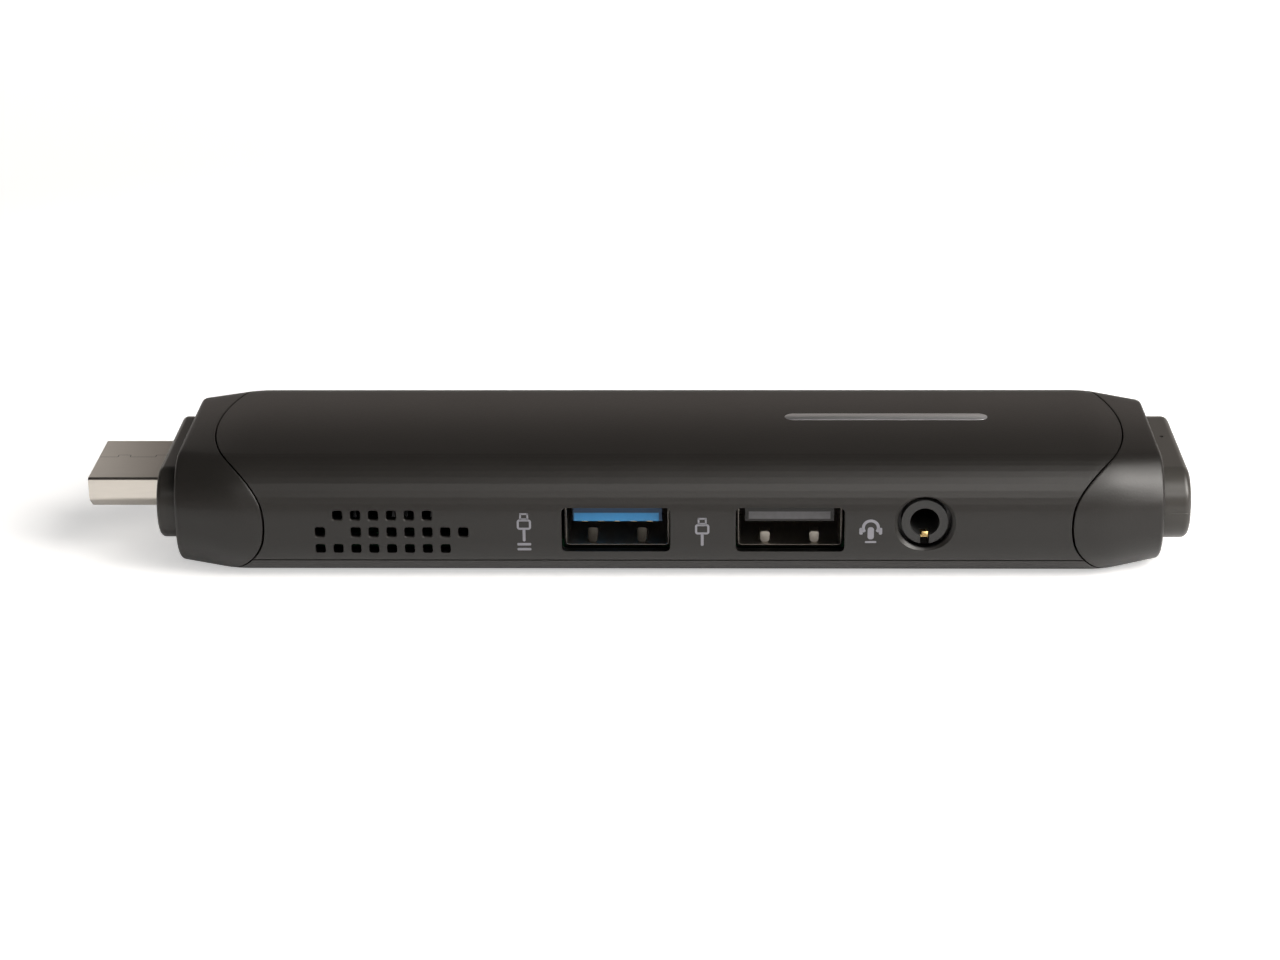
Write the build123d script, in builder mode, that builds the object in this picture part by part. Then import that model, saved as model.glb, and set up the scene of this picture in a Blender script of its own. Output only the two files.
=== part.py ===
from build123d import *
import os
from math import sqrt

# Computer stick with an HDMI plug, as the separate pieces that it comes apart into.
# Lengths are in millimetres. +X runs from the plug to the tail, the ports face -Y, and +Z is up.
# The origin is the middle of the footprint, on the surface that the stick lies on.

# Whole stick
overall_length = 137.9
body_width = 34.0
body_height = 15.0
side_flat = 4.0
plug_reach = 12.15
tail_reach = 3.55

# Tapered ends
end_side_taper = 1.9
end_roof_taper = 0.3
end_flat = 0.4
taper_length = 7.2
end_rim_round = 0.5

# Curved seam between the casing and an end shroud
seam_set_back = 5.98
seam_plan_radius = 29.5
seam_side_radius = 12.6
seam_gap = 0.2

# Walls and clearances
side_wall = 2.0
roof_wall = 1.3
end_wall = 1.6
fit_gap = 0.1
shaft_gap = 0.05
overrun = 1.0
parting_height = 2.5
parting_gap = 0.12
spigot_side_wall = 0.8
spigot_roof_wall = 0.7
spigot_reach = 13.0

# Blocks that stand out of the two ends
block_side_room = 1.9
block_roof_room = 2.6
block_flat = 0.4
block_rise = 0.2
collar_reach = 2.55
collar_rim_round = 0.6
tail_rim_round = 0.9
neck_inset = 1.2
neck_depth = 1.5
pinhole_radius = 0.3
pinhole_depth = 0.8
pinhole_setback = 1.6

# Badge strip in the roof
badge_length = 25.8
badge_width = 2.4
badge_thickness = 0.3
badge_setback = 3.97
badge_y = 1.9

# Main board
board_thickness = 1.0
underside_room = 1.65
board_side_room = 2.4
board_end_room = 5.2
board_corner = 3.0
boss_hole_room = 0.3

# HDMI plug
plug_width = 13.9
plug_height = 4.45
plug_side_height = 2.9
plug_floor_width = 10.0
plug_wall = 0.3
plug_corner_round = 0.35
plug_tail = 6.3
plug_insert_recess = 0.35
plug_slot_width = 11.4
plug_slot_height = 1.2
plug_slot_depth = 7.0
plug_contact_count = 10
plug_contact_width = 0.5
plug_contact_thickness = 0.12
plug_contact_length = 5.0
plug_contact_setback = 1.0
plug_base_width = 14.6
plug_base_height = 7.4
plug_base_reach = 7.8

# USB sockets
usb_width = 13.1
usb_height = 5.7
usb_wall = 0.3
usb_depth = 13.0
usb_corner = 0.6
tongue_width = 11.1
tongue_thickness = 1.84
tongue_roof_gap = 0.66
tongue_recess = 1.1
tongue_block_depth = 3.0
usb_pad_width = 1.0
usb_pad_thickness = 0.12
usb_pad_length = 5.0
usb_pad_pitch = 2.3
usb_pad_setback = 1.6
fast_pad_width = 0.7
fast_pad_length = 1.0
fast_pad_pitch = 2.0
fast_pad_setback = 0.3
lance_width = 1.2
lance_length = 4.0
lance_height = 0.8
lance_spacing = 6.2
lance_setback = 1.6
port_gap = 0.05

# How the room between the ports along the side is shared out, from the heat plate to the tail spigot
usb3_gap_share = 0.1748
usb2_gap_share = 0.2515
jack_gap_share = 0.1862

# Headset jack
jack_bore_radius = 1.8
jack_ring_radius = 2.85
jack_hole_radius = 3.5
jack_hole_bevel = 0.4
jack_ring_recess = 0.6
jack_body_width = 7.8
jack_body_height = 7.7
jack_body_depth = 12.2
jack_body_chamfer = 0.8
jack_back_wall = 1.1
jack_notch_width = 1.1
jack_notch_depth = 2.2
jack_contact_width = 0.9
jack_contact_thickness = 0.3
jack_contact_length = 2.4
jack_contact_pitch = 3.0
jack_contact_gap = 0.08

# Power inlet on the rear side
inlet_setback = 3.0
inlet_width = 7.5
inlet_height = 2.9
inlet_wall = 0.25
inlet_depth = 5.2
inlet_corner = 0.6
inlet_mouth_width = 8.2
inlet_mouth_height = 3.6
inlet_mouth_corner = 0.9
inlet_tongue_width = 3.8
inlet_tongue_thickness = 0.6
inlet_tongue_recess = 0.6
inlet_block_depth = 1.4
inlet_pad_count = 5
inlet_pad_pitch = 0.65
inlet_pad_width = 0.35
inlet_pad_thickness = 0.08
inlet_pad_length = 2.2

# Power button on the rear side
button_light_gap = 0.45
button_length = 8.0
button_height = 2.8
button_recess = 0.1
button_gap = 0.1
button_travel = 0.35
flange_length = 9.6
flange_height = 4.2
flange_thickness = 0.8
stem_width = 2.0
stem_length = 0.6
switch_width = 4.7
switch_depth = 2.6
switch_height = 3.5
plunger_width = 1.6
plunger_height = 1.2
plunger_reach = 0.9
plunger_hold = 1.0

# Status light on the rear side
light_inset = 2.4
light_radius = 0.75
light_foot_room = 3.6
led_width = 1.6
led_depth = 0.9
led_height = 0.6

# Vent grid, cut through both sides; each row lists the columns that are open, the lowest row first
vent_middle_column = 4
vent_row_height = 4.4
vent_pitch = 2.21
vent_size = 1.25
vent_corner = 0.28
vent_pattern = ((0, 1, 2, 3, 4, 5, 6, 7), (0, 2, 3, 4, 5, 6, 7, 8), (1, 2, 3, 4, 5, 6))

# Processor, heat plate and fins
plate_end_gap = 0.4
processor_size = 17.0
processor_height = 1.15
pad_thickness = 0.5
pad_size = 15.0
plate_end_lip = 3.5
plate_thickness = 1.0
plate_screw_inset = 1.5
spacer_radius = 1.5
fin_count = 13
fin_thickness = 0.4
fin_pitch = 1.6
fin_depth = 4.2
fin_height = 5.0
fin_base = 0.6
fin_wall_gap = 1.0

# Fan
fan_side_lip = 1.0
fan_fin_gap = 0.8
fan_rear_room = 2.0
fan_height = 6.0
fan_floor = 0.6
fan_cover_thickness = 0.6
fan_wall = 1.1
fan_outlet_width = 17.0
fan_inlet_lip = 2.0
rotor_gap = 0.7
hub_radius = 5.0
hub_wall = 0.8
hub_roof = 0.6
blade_count = 21
blade_thickness = 0.5
blade_height = 3.6
blade_root = 0.3
rotor_floor_gap = 0.5
magnet_thickness = 0.45
magnet_height = 2.6
bearing_radius = 1.6
bearing_height = 3.2
shaft_radius = 0.7
stator_radius = 3.4
stator_height = 2.2
stator_lift = 0.4
stator_pole_count = 6
stator_slot_width = 0.8
stator_core_radius = 2.3

# Small screws
screw_radius = 0.7
screw_head_radius = 1.1
screw_head_height = 0.6
drive_width = 0.35
drive_length = 1.2
drive_depth = 0.3
board_screw_front_inset = 2.1
board_screw_rear_inset = 4.6
board_screw_grip = 1.3
post_radius = 1.6
post_bore_reach = 1.4

# Casing screws
boss_radius = 1.9
boss_set_back = 9.3
boss_spacing_y = 19.6
casing_screw_radius = 0.8
casing_screw_grip = 5.4
casing_head_radius = 1.5
casing_head_height = 0.7
casing_head_recess = 0.8

# Chips and small parts on the board
memory_length = 8.0
memory_side_room = 1.35
memory_gap = 2.5
memory_height = 0.9
memory_spacing_x = 12.0
storage_length = 11.5
storage_width = 13.0
storage_height = 1.0
storage_y = 0.0
firmware_length = 5.2
firmware_width = 6.0
firmware_height = 0.9
firmware_y = 4.0
power_chip_size = 6.0
power_chip_height = 0.9
power_chip_y = 3.0
audio_chip_size = 5.0
audio_chip_height = 0.8
audio_chip_y = -6.0
crystal_length = 3.2
crystal_width = 2.5
crystal_height = 0.7
crystal_y = 5.0
coil_size = 3.6
coil_height = 2.0
coil_spacing = 5.0
coil_count = 2
capacitor_length = 1.6
capacitor_width = 0.8
capacitor_height = 0.8
capacitor_spacing_x = 2.6
capacitor_spacing_y = 1.6
capacitor_y = 2.6
capacitor_count_x = 2
capacitor_count_y = 4

# Wireless module and antennas
module_set_back = 12.4
module_length = 15.0
module_width = 10.0
module_rear_room = 12.5
module_thickness = 0.8
shield_inset = 0.7
shield_length = 10.0
shield_height = 1.4
antenna_set_back = 22.4
antenna_length = 12.0
antenna_width = 4.0
antenna_thickness = 0.3
antenna_side_room = 9.0
lead_radius = 0.4
lead_bend = 0.8
lead_y = 3.0
lead_inset = 1.6
lead_drop = 0.95

# Places that follow from the sizes above
tip_x = -overall_length / 2
plug_face_x = tip_x + plug_reach
tail_x = overall_length / 2
tail_face_x = tail_x - tail_reach
mid_height = body_height / 2
end_width = body_width - 2 * end_side_taper
end_height = body_height - 2 * end_roof_taper
block_width = end_width - 2 * block_side_room
block_height = end_height - 2 * block_roof_room
side_radius = (body_height - side_flat) / 2
end_radius = (end_height - end_flat) / 2
front_y = -body_width / 2
front_inner_y = front_y + side_wall
rear_inner_y = -front_inner_y
roof_z = body_height - roof_wall
board_floor = roof_wall + underside_room
board_top = board_floor + board_thickness
board_start = plug_face_x + board_end_room
board_end = tail_face_x - board_end_room
block_z = mid_height + block_rise
port_mouth_y = front_inner_y + fit_gap
spigot_side_inset = side_wall + fit_gap
spigot_roof_inset = roof_wall + fit_gap
cavity_side_inset = spigot_side_inset + spigot_side_wall
cavity_roof_inset = spigot_roof_inset + spigot_roof_wall
board_width = body_width - 2 * side_wall - 2 * board_side_room
board_screw_front_y = board_screw_front_inset - board_width / 2
board_screw_rear_y = board_width / 2 - board_screw_rear_inset
fin_front_y = front_inner_y + fin_wall_gap
fan_front_y = fin_front_y + fin_depth + fan_fin_gap
fan_width = rear_inner_y - fan_rear_room - fan_front_y
fan_length = fan_width + 2 * fan_side_lip
fan_y = fan_front_y + fan_width / 2
fan_chamber_radius = fan_width / 2 - fan_wall
rotor_radius = fan_chamber_radius - rotor_gap
fan_inlet_radius = rotor_radius - fan_inlet_lip
plate_length = fan_length + 2 * plate_end_lip
boss_x_plug = plug_face_x + boss_set_back
boss_x_tail = tail_face_x - boss_set_back
chip_x = boss_x_plug + boss_radius + plate_end_gap + plate_length / 2
port_row_start = chip_x + plate_length / 2
port_row_end = tail_face_x - spigot_reach
port_room = port_row_end - port_row_start - 2 * usb_width - jack_body_width
usb3_x = port_row_start + port_room * usb3_gap_share + usb_width / 2
usb2_x = usb3_x + port_room * usb2_gap_share + usb_width
jack_x = usb2_x + usb_width / 2 + port_room * jack_gap_share + jack_body_width / 2
usb_z = board_top + usb_height / 2
jack_z = board_top + jack_body_height / 2
badge_x = jack_x - badge_setback
inlet_x = usb2_x - inlet_setback
inlet_z = board_top + inlet_height / 2
light_x = port_row_end - light_inset
button_x = light_x - light_radius - button_light_gap - flange_length / 2
between_usb_x = (usb3_x + usb2_x) / 2
between_usb_and_jack_x = (usb2_x + usb_width / 2 + jack_x - jack_body_width / 2) / 2
after_jack_x = (jack_x + jack_body_width / 2 + port_row_end) / 2
board_screw_places = [
    (between_usb_x, board_screw_front_y),
    (between_usb_x, board_screw_rear_y),
    (after_jack_x, board_screw_front_y),
]
boss_places = [(x, y) for x in (boss_x_plug, boss_x_tail) for y in (-boss_spacing_y / 2, boss_spacing_y / 2)]
pad_z = board_top + processor_height
plate_z = pad_z + pad_thickness
plate_top = plate_z + plate_thickness
plate_screw_x = plate_length - 2 * plate_screw_inset
plate_screw_y = board_width - 2 * plate_screw_inset
fan_chamber_z = plate_top + fan_floor
fan_cover_z = plate_top + fan_height - fan_cover_thickness

os.makedirs("parts", exist_ok=True)


def cross_plane(x, z):
    """A plane across the stick: its local x is +Y and its local y is +Z."""
    return Plane(origin=(x, 0, z), x_dir=(0, 1, 0), z_dir=(1, 0, 0))


def side_plane(y):
    """A plane that faces the port side: its local x is +X and its local y is +Z."""
    return Plane(origin=(0, y, 0), x_dir=(1, 0, 0), z_dir=(0, -1, 0))


def block(x, y, z, mode=Mode.ADD):
    """A box between two values on each axis."""
    with Locations((x[0], y[0], z[0])):
        Box(x[1] - x[0], y[1] - y[0], z[1] - z[0], align=(Align.MIN, Align.MIN, Align.MIN), mode=mode)


def seated_box(length, width, height):
    """A box that stands on the place where it is put."""
    Box(length, width, height, align=(Align.CENTER, Align.CENTER, Align.MIN))


def standing_rod(radius, height, mode=Mode.ADD):
    """A cylinder that stands on the place where it is put."""
    Cylinder(radius, height, align=(Align.CENTER, Align.CENTER, Align.MIN), mode=mode)


# Outer form, seams and cavities


def body_form(side_inset, roof_inset, end_inset):
    """The form of the body, drawn in by a wall at its sides, its roof and floor, and its ends."""

    def middle_section():
        RectangleRounded(body_width - 2 * side_inset, body_height - 2 * roof_inset, side_radius - side_inset)

    def end_section():
        RectangleRounded(end_width - 2 * side_inset, end_height - 2 * roof_inset, end_radius - side_inset)

    middle_start = plug_face_x + taper_length
    middle_end = tail_face_x - taper_length
    with BuildPart() as form:
        with BuildSketch(cross_plane(middle_start, mid_height)):
            middle_section()
        extrude(amount=middle_end - middle_start)
        with BuildSketch(cross_plane(plug_face_x + end_inset, mid_height)):
            end_section()
        with BuildSketch(cross_plane(middle_start, mid_height)):
            middle_section()
        loft(ruled=True)
        with BuildSketch(cross_plane(middle_end, mid_height)):
            middle_section()
        with BuildSketch(cross_plane(tail_face_x - end_inset, mid_height)):
            end_section()
        loft(ruled=True)
    return form.part


def core_form(grow):
    """The space between the two seams: a waisted disc at each end, joined by a block."""
    waist = seam_plan_radius + grow
    reach = mid_height + overrun
    rim = waist + seam_side_radius - sqrt(seam_side_radius**2 - reach**2)
    low = mid_height - reach
    high = mid_height + reach
    disc_x_plug = plug_face_x + seam_set_back + seam_plan_radius
    disc_x_tail = tail_face_x - seam_set_back - seam_plan_radius
    with BuildPart() as form:
        for disc_x in (disc_x_plug, disc_x_tail):
            with BuildSketch(Plane(origin=(disc_x, 0, 0), x_dir=(1, 0, 0), z_dir=(0, -1, 0))):
                with BuildLine():
                    ThreePointArc((rim, low), (waist, mid_height), (rim, high))
                    Polyline((rim, high), (0, high), (0, low), (rim, low))
                make_face()
            revolve(axis=Axis((disc_x, 0, 0), (0, 0, 1)))
        block((disc_x_plug, disc_x_tail), (front_y - overrun, -front_y + overrun), (low, high))
    return form.part


def rimmed_form():
    """The outer form with the rims of its two end faces rounded."""
    with BuildPart() as form:
        add(body_form(0, 0, 0))
        ends = form.faces().filter_by(Axis.X)
        fillet(ends.edges(), end_rim_round)
    return form.part


outer = rimmed_form()
core = core_form(0)
core_with_gap = core_form(seam_gap)
casing_cavity = body_form(side_wall, roof_wall, end_wall)
spigot = body_form(spigot_side_inset, spigot_roof_inset, end_wall)
shroud_cavity = body_form(cavity_side_inset, cavity_roof_inset, end_wall)


def port_window(x, z, width, height, corner):
    """A rounded window through the port side's wall."""
    with BuildSketch(side_plane(front_y - overrun)) as window:
        with Locations((x, z)):
            RectangleRounded(width, height, corner)
    extrude(window.sketch, amount=-(side_wall + 2 * overrun), mode=Mode.SUBTRACT)


def rear_window(x, z, width, height, corner):
    """A rounded window through the rear side's wall."""
    with BuildSketch(side_plane(-front_y + overrun)) as window:
        with Locations((x, z)):
            RectangleRounded(width, height, corner)
    extrude(window.sketch, amount=side_wall + 2 * overrun, mode=Mode.SUBTRACT)


# Top casing: roof and sides in one moulding, with the ports, the vents and four screw bosses
with BuildPart() as top_casing:
    add(outer)
    add(core, mode=Mode.INTERSECT)
    add(casing_cavity, mode=Mode.SUBTRACT)
    split(bisect_by=Plane.XY.offset(parting_height + parting_gap), keep=Keep.TOP)
    with Locations(*[(x, y, roof_wall) for x, y in boss_places]):
        standing_rod(boss_radius, roof_z + roof_wall / 2 - roof_wall)
    with Locations(*[(x, y, roof_wall) for x, y in boss_places]):
        standing_rod(casing_screw_radius + shaft_gap, casing_screw_grip + fit_gap, mode=Mode.SUBTRACT)
    for usb_x in (usb3_x, usb2_x):
        port_window(usb_x, usb_z, usb_width + 2 * port_gap, usb_height + 2 * port_gap, usb_corner)
    with BuildSketch(side_plane(front_y - overrun)):
        with Locations((jack_x, jack_z)):
            Circle(jack_hole_radius)
    extrude(amount=-(side_wall + 2 * overrun), mode=Mode.SUBTRACT)
    with BuildSketch(side_plane(front_y)):
        with Locations((jack_x, jack_z)):
            Circle(jack_hole_radius + jack_hole_bevel)
    with BuildSketch(side_plane(front_y + jack_hole_bevel)):
        with Locations((jack_x, jack_z)):
            Circle(jack_hole_radius)
    loft(mode=Mode.SUBTRACT)
    with BuildSketch(side_plane(front_y - overrun)):
        for row, columns in enumerate(vent_pattern):
            for column in columns:
                vent_x = chip_x + (column - vent_middle_column) * vent_pitch
                with Locations((vent_x, vent_row_height + row * vent_pitch)):
                    RectangleRounded(vent_size, vent_size, vent_corner)
    extrude(amount=-(body_width + 2 * overrun), mode=Mode.SUBTRACT)
    rear_window(inlet_x, inlet_z, inlet_mouth_width, inlet_mouth_height, inlet_mouth_corner)
    with BuildSketch(side_plane(-front_y + overrun)):
        with Locations((button_x, mid_height)):
            SlotOverall(button_length + 2 * button_gap, button_height + 2 * button_gap)
        with Locations((light_x, mid_height)):
            Circle(light_radius + shaft_gap)
    extrude(amount=side_wall + 2 * overrun, mode=Mode.SUBTRACT)
    with BuildSketch(Plane.XY.offset(body_height)):
        with Locations((badge_x, badge_y)):
            SlotOverall(badge_length + 2 * shaft_gap, badge_width + 2 * shaft_gap)
    extrude(amount=-badge_thickness, mode=Mode.SUBTRACT)
top_casing.part.label = "top_casing"
export_step(top_casing.part, "parts/top_casing.step")

# Bottom cover: a shallow tray with posts for the board and recesses for the casing screws
with BuildPart() as bottom_cover:
    add(outer)
    add(core, mode=Mode.INTERSECT)
    add(casing_cavity, mode=Mode.SUBTRACT)
    split(bisect_by=Plane.XY.offset(parting_height), keep=Keep.BOTTOM)
    with Locations(*[(x, y, roof_wall / 2) for x, y in board_screw_places]):
        standing_rod(post_radius, board_floor - roof_wall / 2)
    with Locations(*[(x, y, board_floor - post_bore_reach) for x, y in board_screw_places]):
        standing_rod(screw_radius + shaft_gap, post_bore_reach + overrun, mode=Mode.SUBTRACT)
    with Locations(*[(x, y, 0) for x, y in boss_places]):
        standing_rod(casing_head_radius + fit_gap, casing_head_recess, mode=Mode.SUBTRACT)
        standing_rod(casing_screw_radius + shaft_gap, roof_wall + overrun, mode=Mode.SUBTRACT)
bottom_cover.part.label = "bottom_cover"
export_step(bottom_cover.part, "parts/bottom_cover.step")


def end_shroud(face_x, inward):
    """A tapered end cap: its skin stops at the seam and its spigot runs on inside the casing."""
    wall_end = face_x + inward * end_wall
    low_x, high_x = sorted((face_x - inward * overrun, face_x + inward * spigot_reach))
    boss_x = face_x + inward * boss_set_back
    with BuildPart() as shroud:
        add(spigot)
        block((low_x, high_x), (front_y, -front_y), (0, body_height), mode=Mode.INTERSECT)
        add(outer_cap(face_x, inward))
        add(shroud_cavity, mode=Mode.SUBTRACT)
        with BuildSketch(cross_plane(face_x - inward * overrun, block_z)):
            RectangleRounded(block_width + 2 * fit_gap, block_height + 2 * fit_gap, block_radius + fit_gap)
        extrude(amount=inward * (end_wall + overrun), mode=Mode.SUBTRACT)
        with Locations((boss_x, -boss_spacing_y / 2, roof_wall), (boss_x, boss_spacing_y / 2, roof_wall)):
            standing_rod(boss_radius + boss_hole_room, roof_z - roof_wall, mode=Mode.SUBTRACT)
    return shroud.part


def outer_cap(face_x, inward):
    """The skin of one end, from its face to the seam."""
    low_x, high_x = sorted((face_x - inward * overrun, face_x + inward * (seam_set_back + seam_plan_radius)))
    with BuildPart() as cap:
        add(outer)
        block((low_x, high_x), (front_y, -front_y), (0, body_height), mode=Mode.INTERSECT)
        add(core_with_gap, mode=Mode.SUBTRACT)
    return cap.part


block_radius = (block_height - block_flat) / 2

# Plug-end shroud
with BuildPart() as plug_end_shroud:
    add(end_shroud(plug_face_x, 1))
plug_end_shroud.part.label = "plug_end_shroud"
export_step(plug_end_shroud.part, "parts/plug_end_shroud.step")

# Tail-end shroud
with BuildPart() as tail_end_shroud:
    add(end_shroud(tail_face_x, -1))
tail_end_shroud.part.label = "tail_end_shroud"
export_step(tail_end_shroud.part, "parts/tail_end_shroud.step")


def end_block(face_x, outward, reach, rim_round):
    """A glossy block that seats in a shroud's window, with a narrower neck behind it."""
    seat_x = face_x - outward * end_wall
    outer_x = face_x + outward * reach
    with BuildPart() as piece:
        with BuildSketch(cross_plane(seat_x, block_z)):
            RectangleRounded(block_width, block_height, block_radius)
        extrude(amount=outward * (end_wall + reach))
        outer_face = piece.faces().filter_by(Axis.X).sort_by(Axis.X)[-1 if outward > 0 else 0]
        fillet(outer_face.edges(), rim_round)
        with BuildSketch(cross_plane(seat_x, block_z)):
            RectangleRounded(
                block_width - 2 * (neck_inset + fit_gap),
                block_height - 2 * neck_inset,
                block_radius - neck_inset,
            )
        extrude(amount=-outward * neck_depth)
    return piece.part


def plug_profile(inset):
    """The plug's outline, flat on top and drawn in at the bottom, inset by a wall."""
    half = plug_width / 2
    top = plug_height / 2
    side_end = top - plug_side_height
    with BuildSketch() as outline:
        with BuildLine():
            Polyline(
                (-half, top),
                (half, top),
                (half, side_end),
                (plug_floor_width / 2, -top),
                (-plug_floor_width / 2, -top),
                (-half, side_end),
                close=True,
            )
        make_face()
        if inset > 0:
            offset(amount=-inset, kind=Kind.INTERSECTION, mode=Mode.REPLACE)
        else:
            fillet(outline.vertices(), plug_corner_round)
    return outline.sketch


# Plug collar: the block around the plug
with BuildPart() as plug_collar:
    add(end_block(plug_face_x, -1, collar_reach, collar_rim_round))
    with BuildSketch(cross_plane(plug_face_x - collar_reach - overrun, block_z)):
        add(plug_profile(0))
        offset(amount=shaft_gap, kind=Kind.INTERSECTION, mode=Mode.REPLACE)
    extrude(amount=collar_reach + end_wall + neck_depth + 2 * overrun, mode=Mode.SUBTRACT)
plug_collar.part.label = "plug_collar"
export_step(plug_collar.part, "parts/plug_collar.step")

# Tail block, with a pinhole in its upper side
with BuildPart() as tail_block:
    add(end_block(tail_face_x, 1, tail_reach, tail_rim_round))
    with Locations((tail_face_x + pinhole_setback, badge_y, block_z + block_height / 2 - pinhole_depth)):
        standing_rod(pinhole_radius, pinhole_depth + overrun, mode=Mode.SUBTRACT)
tail_block.part.label = "tail_block"
export_step(tail_block.part, "parts/tail_block.step")

# Badge strip: a plain bar let into the roof
with BuildPart() as badge_strip:
    with BuildSketch(Plane.XY.offset(body_height - badge_thickness)):
        with Locations((badge_x, badge_y)):
            SlotOverall(badge_length, badge_width)
    extrude(amount=badge_thickness)
badge_strip.part.label = "badge_strip"
export_step(badge_strip.part, "parts/badge_strip.step")

# HDMI plug: folded shell, insert with a slot, contacts on both sides of the slot, and its base
plug_rear_x = plug_face_x + plug_tail
insert_front_x = tip_x + plug_insert_recess

with BuildPart() as hdmi_plug_shell:
    with BuildSketch(cross_plane(tip_x, block_z)):
        add(plug_profile(0))
        add(plug_profile(plug_wall), mode=Mode.SUBTRACT)
    extrude(amount=plug_rear_x - tip_x)
hdmi_plug_shell.part.label = "hdmi_plug_shell"
export_step(hdmi_plug_shell.part, "parts/hdmi_plug_shell.step")

with BuildPart() as hdmi_plug_insert:
    with BuildSketch(cross_plane(insert_front_x, block_z)):
        add(plug_profile(plug_wall))
    extrude(amount=plug_rear_x - insert_front_x)
    with BuildSketch(cross_plane(insert_front_x - overrun, block_z)):
        Rectangle(plug_slot_width, plug_slot_height)
    extrude(amount=plug_slot_depth + overrun, mode=Mode.SUBTRACT)
hdmi_plug_insert.part.label = "hdmi_plug_insert"
export_step(hdmi_plug_insert.part, "parts/hdmi_plug_insert.step")

plug_contact_pitch = plug_slot_width / (plug_contact_count + 1)
plug_contact_x = insert_front_x + plug_contact_setback + plug_contact_length / 2
with BuildPart() as hdmi_plug_contacts:
    for count, side in ((plug_contact_count, 1), (plug_contact_count - 1, -1)):
        contact_z = block_z + side * (plug_slot_height - plug_contact_thickness) / 2
        with Locations((plug_contact_x, 0, contact_z)):
            with GridLocations(plug_contact_length, plug_contact_pitch, 1, count):
                Box(plug_contact_length, plug_contact_width, plug_contact_thickness)
hdmi_plug_contacts.part.label = "hdmi_plug_contacts"
export_step(hdmi_plug_contacts.part, "parts/hdmi_plug_contacts.step")

with BuildPart() as hdmi_plug_base:
    block(
        (plug_face_x + end_wall + neck_depth + fit_gap, plug_face_x + plug_base_reach),
        (-plug_base_width / 2, plug_base_width / 2),
        (board_top, board_top + plug_base_height),
    )
    with BuildSketch(cross_plane(plug_face_x, block_z)):
        add(plug_profile(0))
        offset(amount=shaft_gap, kind=Kind.INTERSECTION, mode=Mode.REPLACE)
    extrude(amount=plug_tail + shaft_gap, mode=Mode.SUBTRACT)
hdmi_plug_base.part.label = "hdmi_plug_base"
export_step(hdmi_plug_base.part, "parts/hdmi_plug_base.step")

# USB sockets: a folded shell with two springs in its floor, a tongue on a block, and contacts
tongue_top = usb_z + usb_height / 2 - usb_wall - tongue_roof_gap
tongue_floor = tongue_top - tongue_thickness
socket_rear_y = port_mouth_y + usb_depth
tongue_front_y = port_mouth_y + tongue_recess


def usb_shell(centre_x):
    """A rectangular shell, open in front, with two spring tongues rising from its floor."""
    floor_z = usb_z - usb_height / 2 + usb_wall
    with BuildPart() as shell:
        with BuildSketch(side_plane(port_mouth_y)):
            with Locations((centre_x, usb_z)):
                RectangleRounded(usb_width, usb_height, usb_corner)
                RectangleRounded(
                    usb_width - 2 * usb_wall,
                    usb_height - 2 * usb_wall,
                    usb_corner - usb_wall,
                    mode=Mode.SUBTRACT,
                )
        extrude(amount=-usb_depth)
        for side in (-1, 1):
            spring_x = centre_x + side * lance_spacing / 2
            with BuildSketch(cross_plane(spring_x - lance_width / 2, 0)):
                with BuildLine():
                    start = port_mouth_y + lance_setback
                    Polyline(
                        (start, floor_z),
                        (start + lance_length / 4, floor_z + lance_height),
                        (start + lance_length / 2, floor_z + lance_height),
                        (start + lance_length, floor_z),
                        close=True,
                    )
                make_face()
            extrude(amount=lance_width)
    return shell.part


def usb_tongue(centre_x):
    """A tongue that stands forward from the block at the back of the shell."""
    with BuildPart() as tongue:
        block(
            (centre_x - tongue_width / 2, centre_x + tongue_width / 2),
            (tongue_front_y, socket_rear_y - tongue_block_depth / 2),
            (tongue_floor, tongue_top),
        )
        with BuildSketch(side_plane(socket_rear_y)):
            with Locations((centre_x, usb_z)):
                RectangleRounded(usb_width - 2 * usb_wall, usb_height - 2 * usb_wall, usb_corner - usb_wall)
        extrude(amount=tongue_block_depth)
    return tongue.part


with BuildPart() as usb3_shell:
    add(usb_shell(usb3_x))
usb3_shell.part.label = "usb3_shell"
export_step(usb3_shell.part, "parts/usb3_shell.step")

with BuildPart() as usb2_shell:
    add(usb_shell(usb2_x))
usb2_shell.part.label = "usb2_shell"
export_step(usb2_shell.part, "parts/usb2_shell.step")

with BuildPart() as usb3_tongue:
    add(usb_tongue(usb3_x))
usb3_tongue.part.label = "usb3_tongue"
export_step(usb3_tongue.part, "parts/usb3_tongue.step")

with BuildPart() as usb2_tongue:
    add(usb_tongue(usb2_x))
usb2_tongue.part.label = "usb2_tongue"
export_step(usb2_tongue.part, "parts/usb2_tongue.step")

pad_row_y = tongue_front_y + usb_pad_setback + usb_pad_length / 2
fast_row_y = tongue_front_y + fast_pad_setback + fast_pad_length / 2
pad_row_z = tongue_floor - usb_pad_thickness / 2
with BuildPart() as usb3_contacts:
    with Locations((usb3_x, pad_row_y, pad_row_z)):
        with GridLocations(usb_pad_pitch, usb_pad_length, 4, 1):
            Box(usb_pad_width, usb_pad_length, usb_pad_thickness)
    with Locations((usb3_x, fast_row_y, pad_row_z)):
        with GridLocations(fast_pad_pitch, fast_pad_length, 5, 1):
            Box(fast_pad_width, fast_pad_length, usb_pad_thickness)
usb3_contacts.part.label = "usb3_contacts"
export_step(usb3_contacts.part, "parts/usb3_contacts.step")

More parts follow.
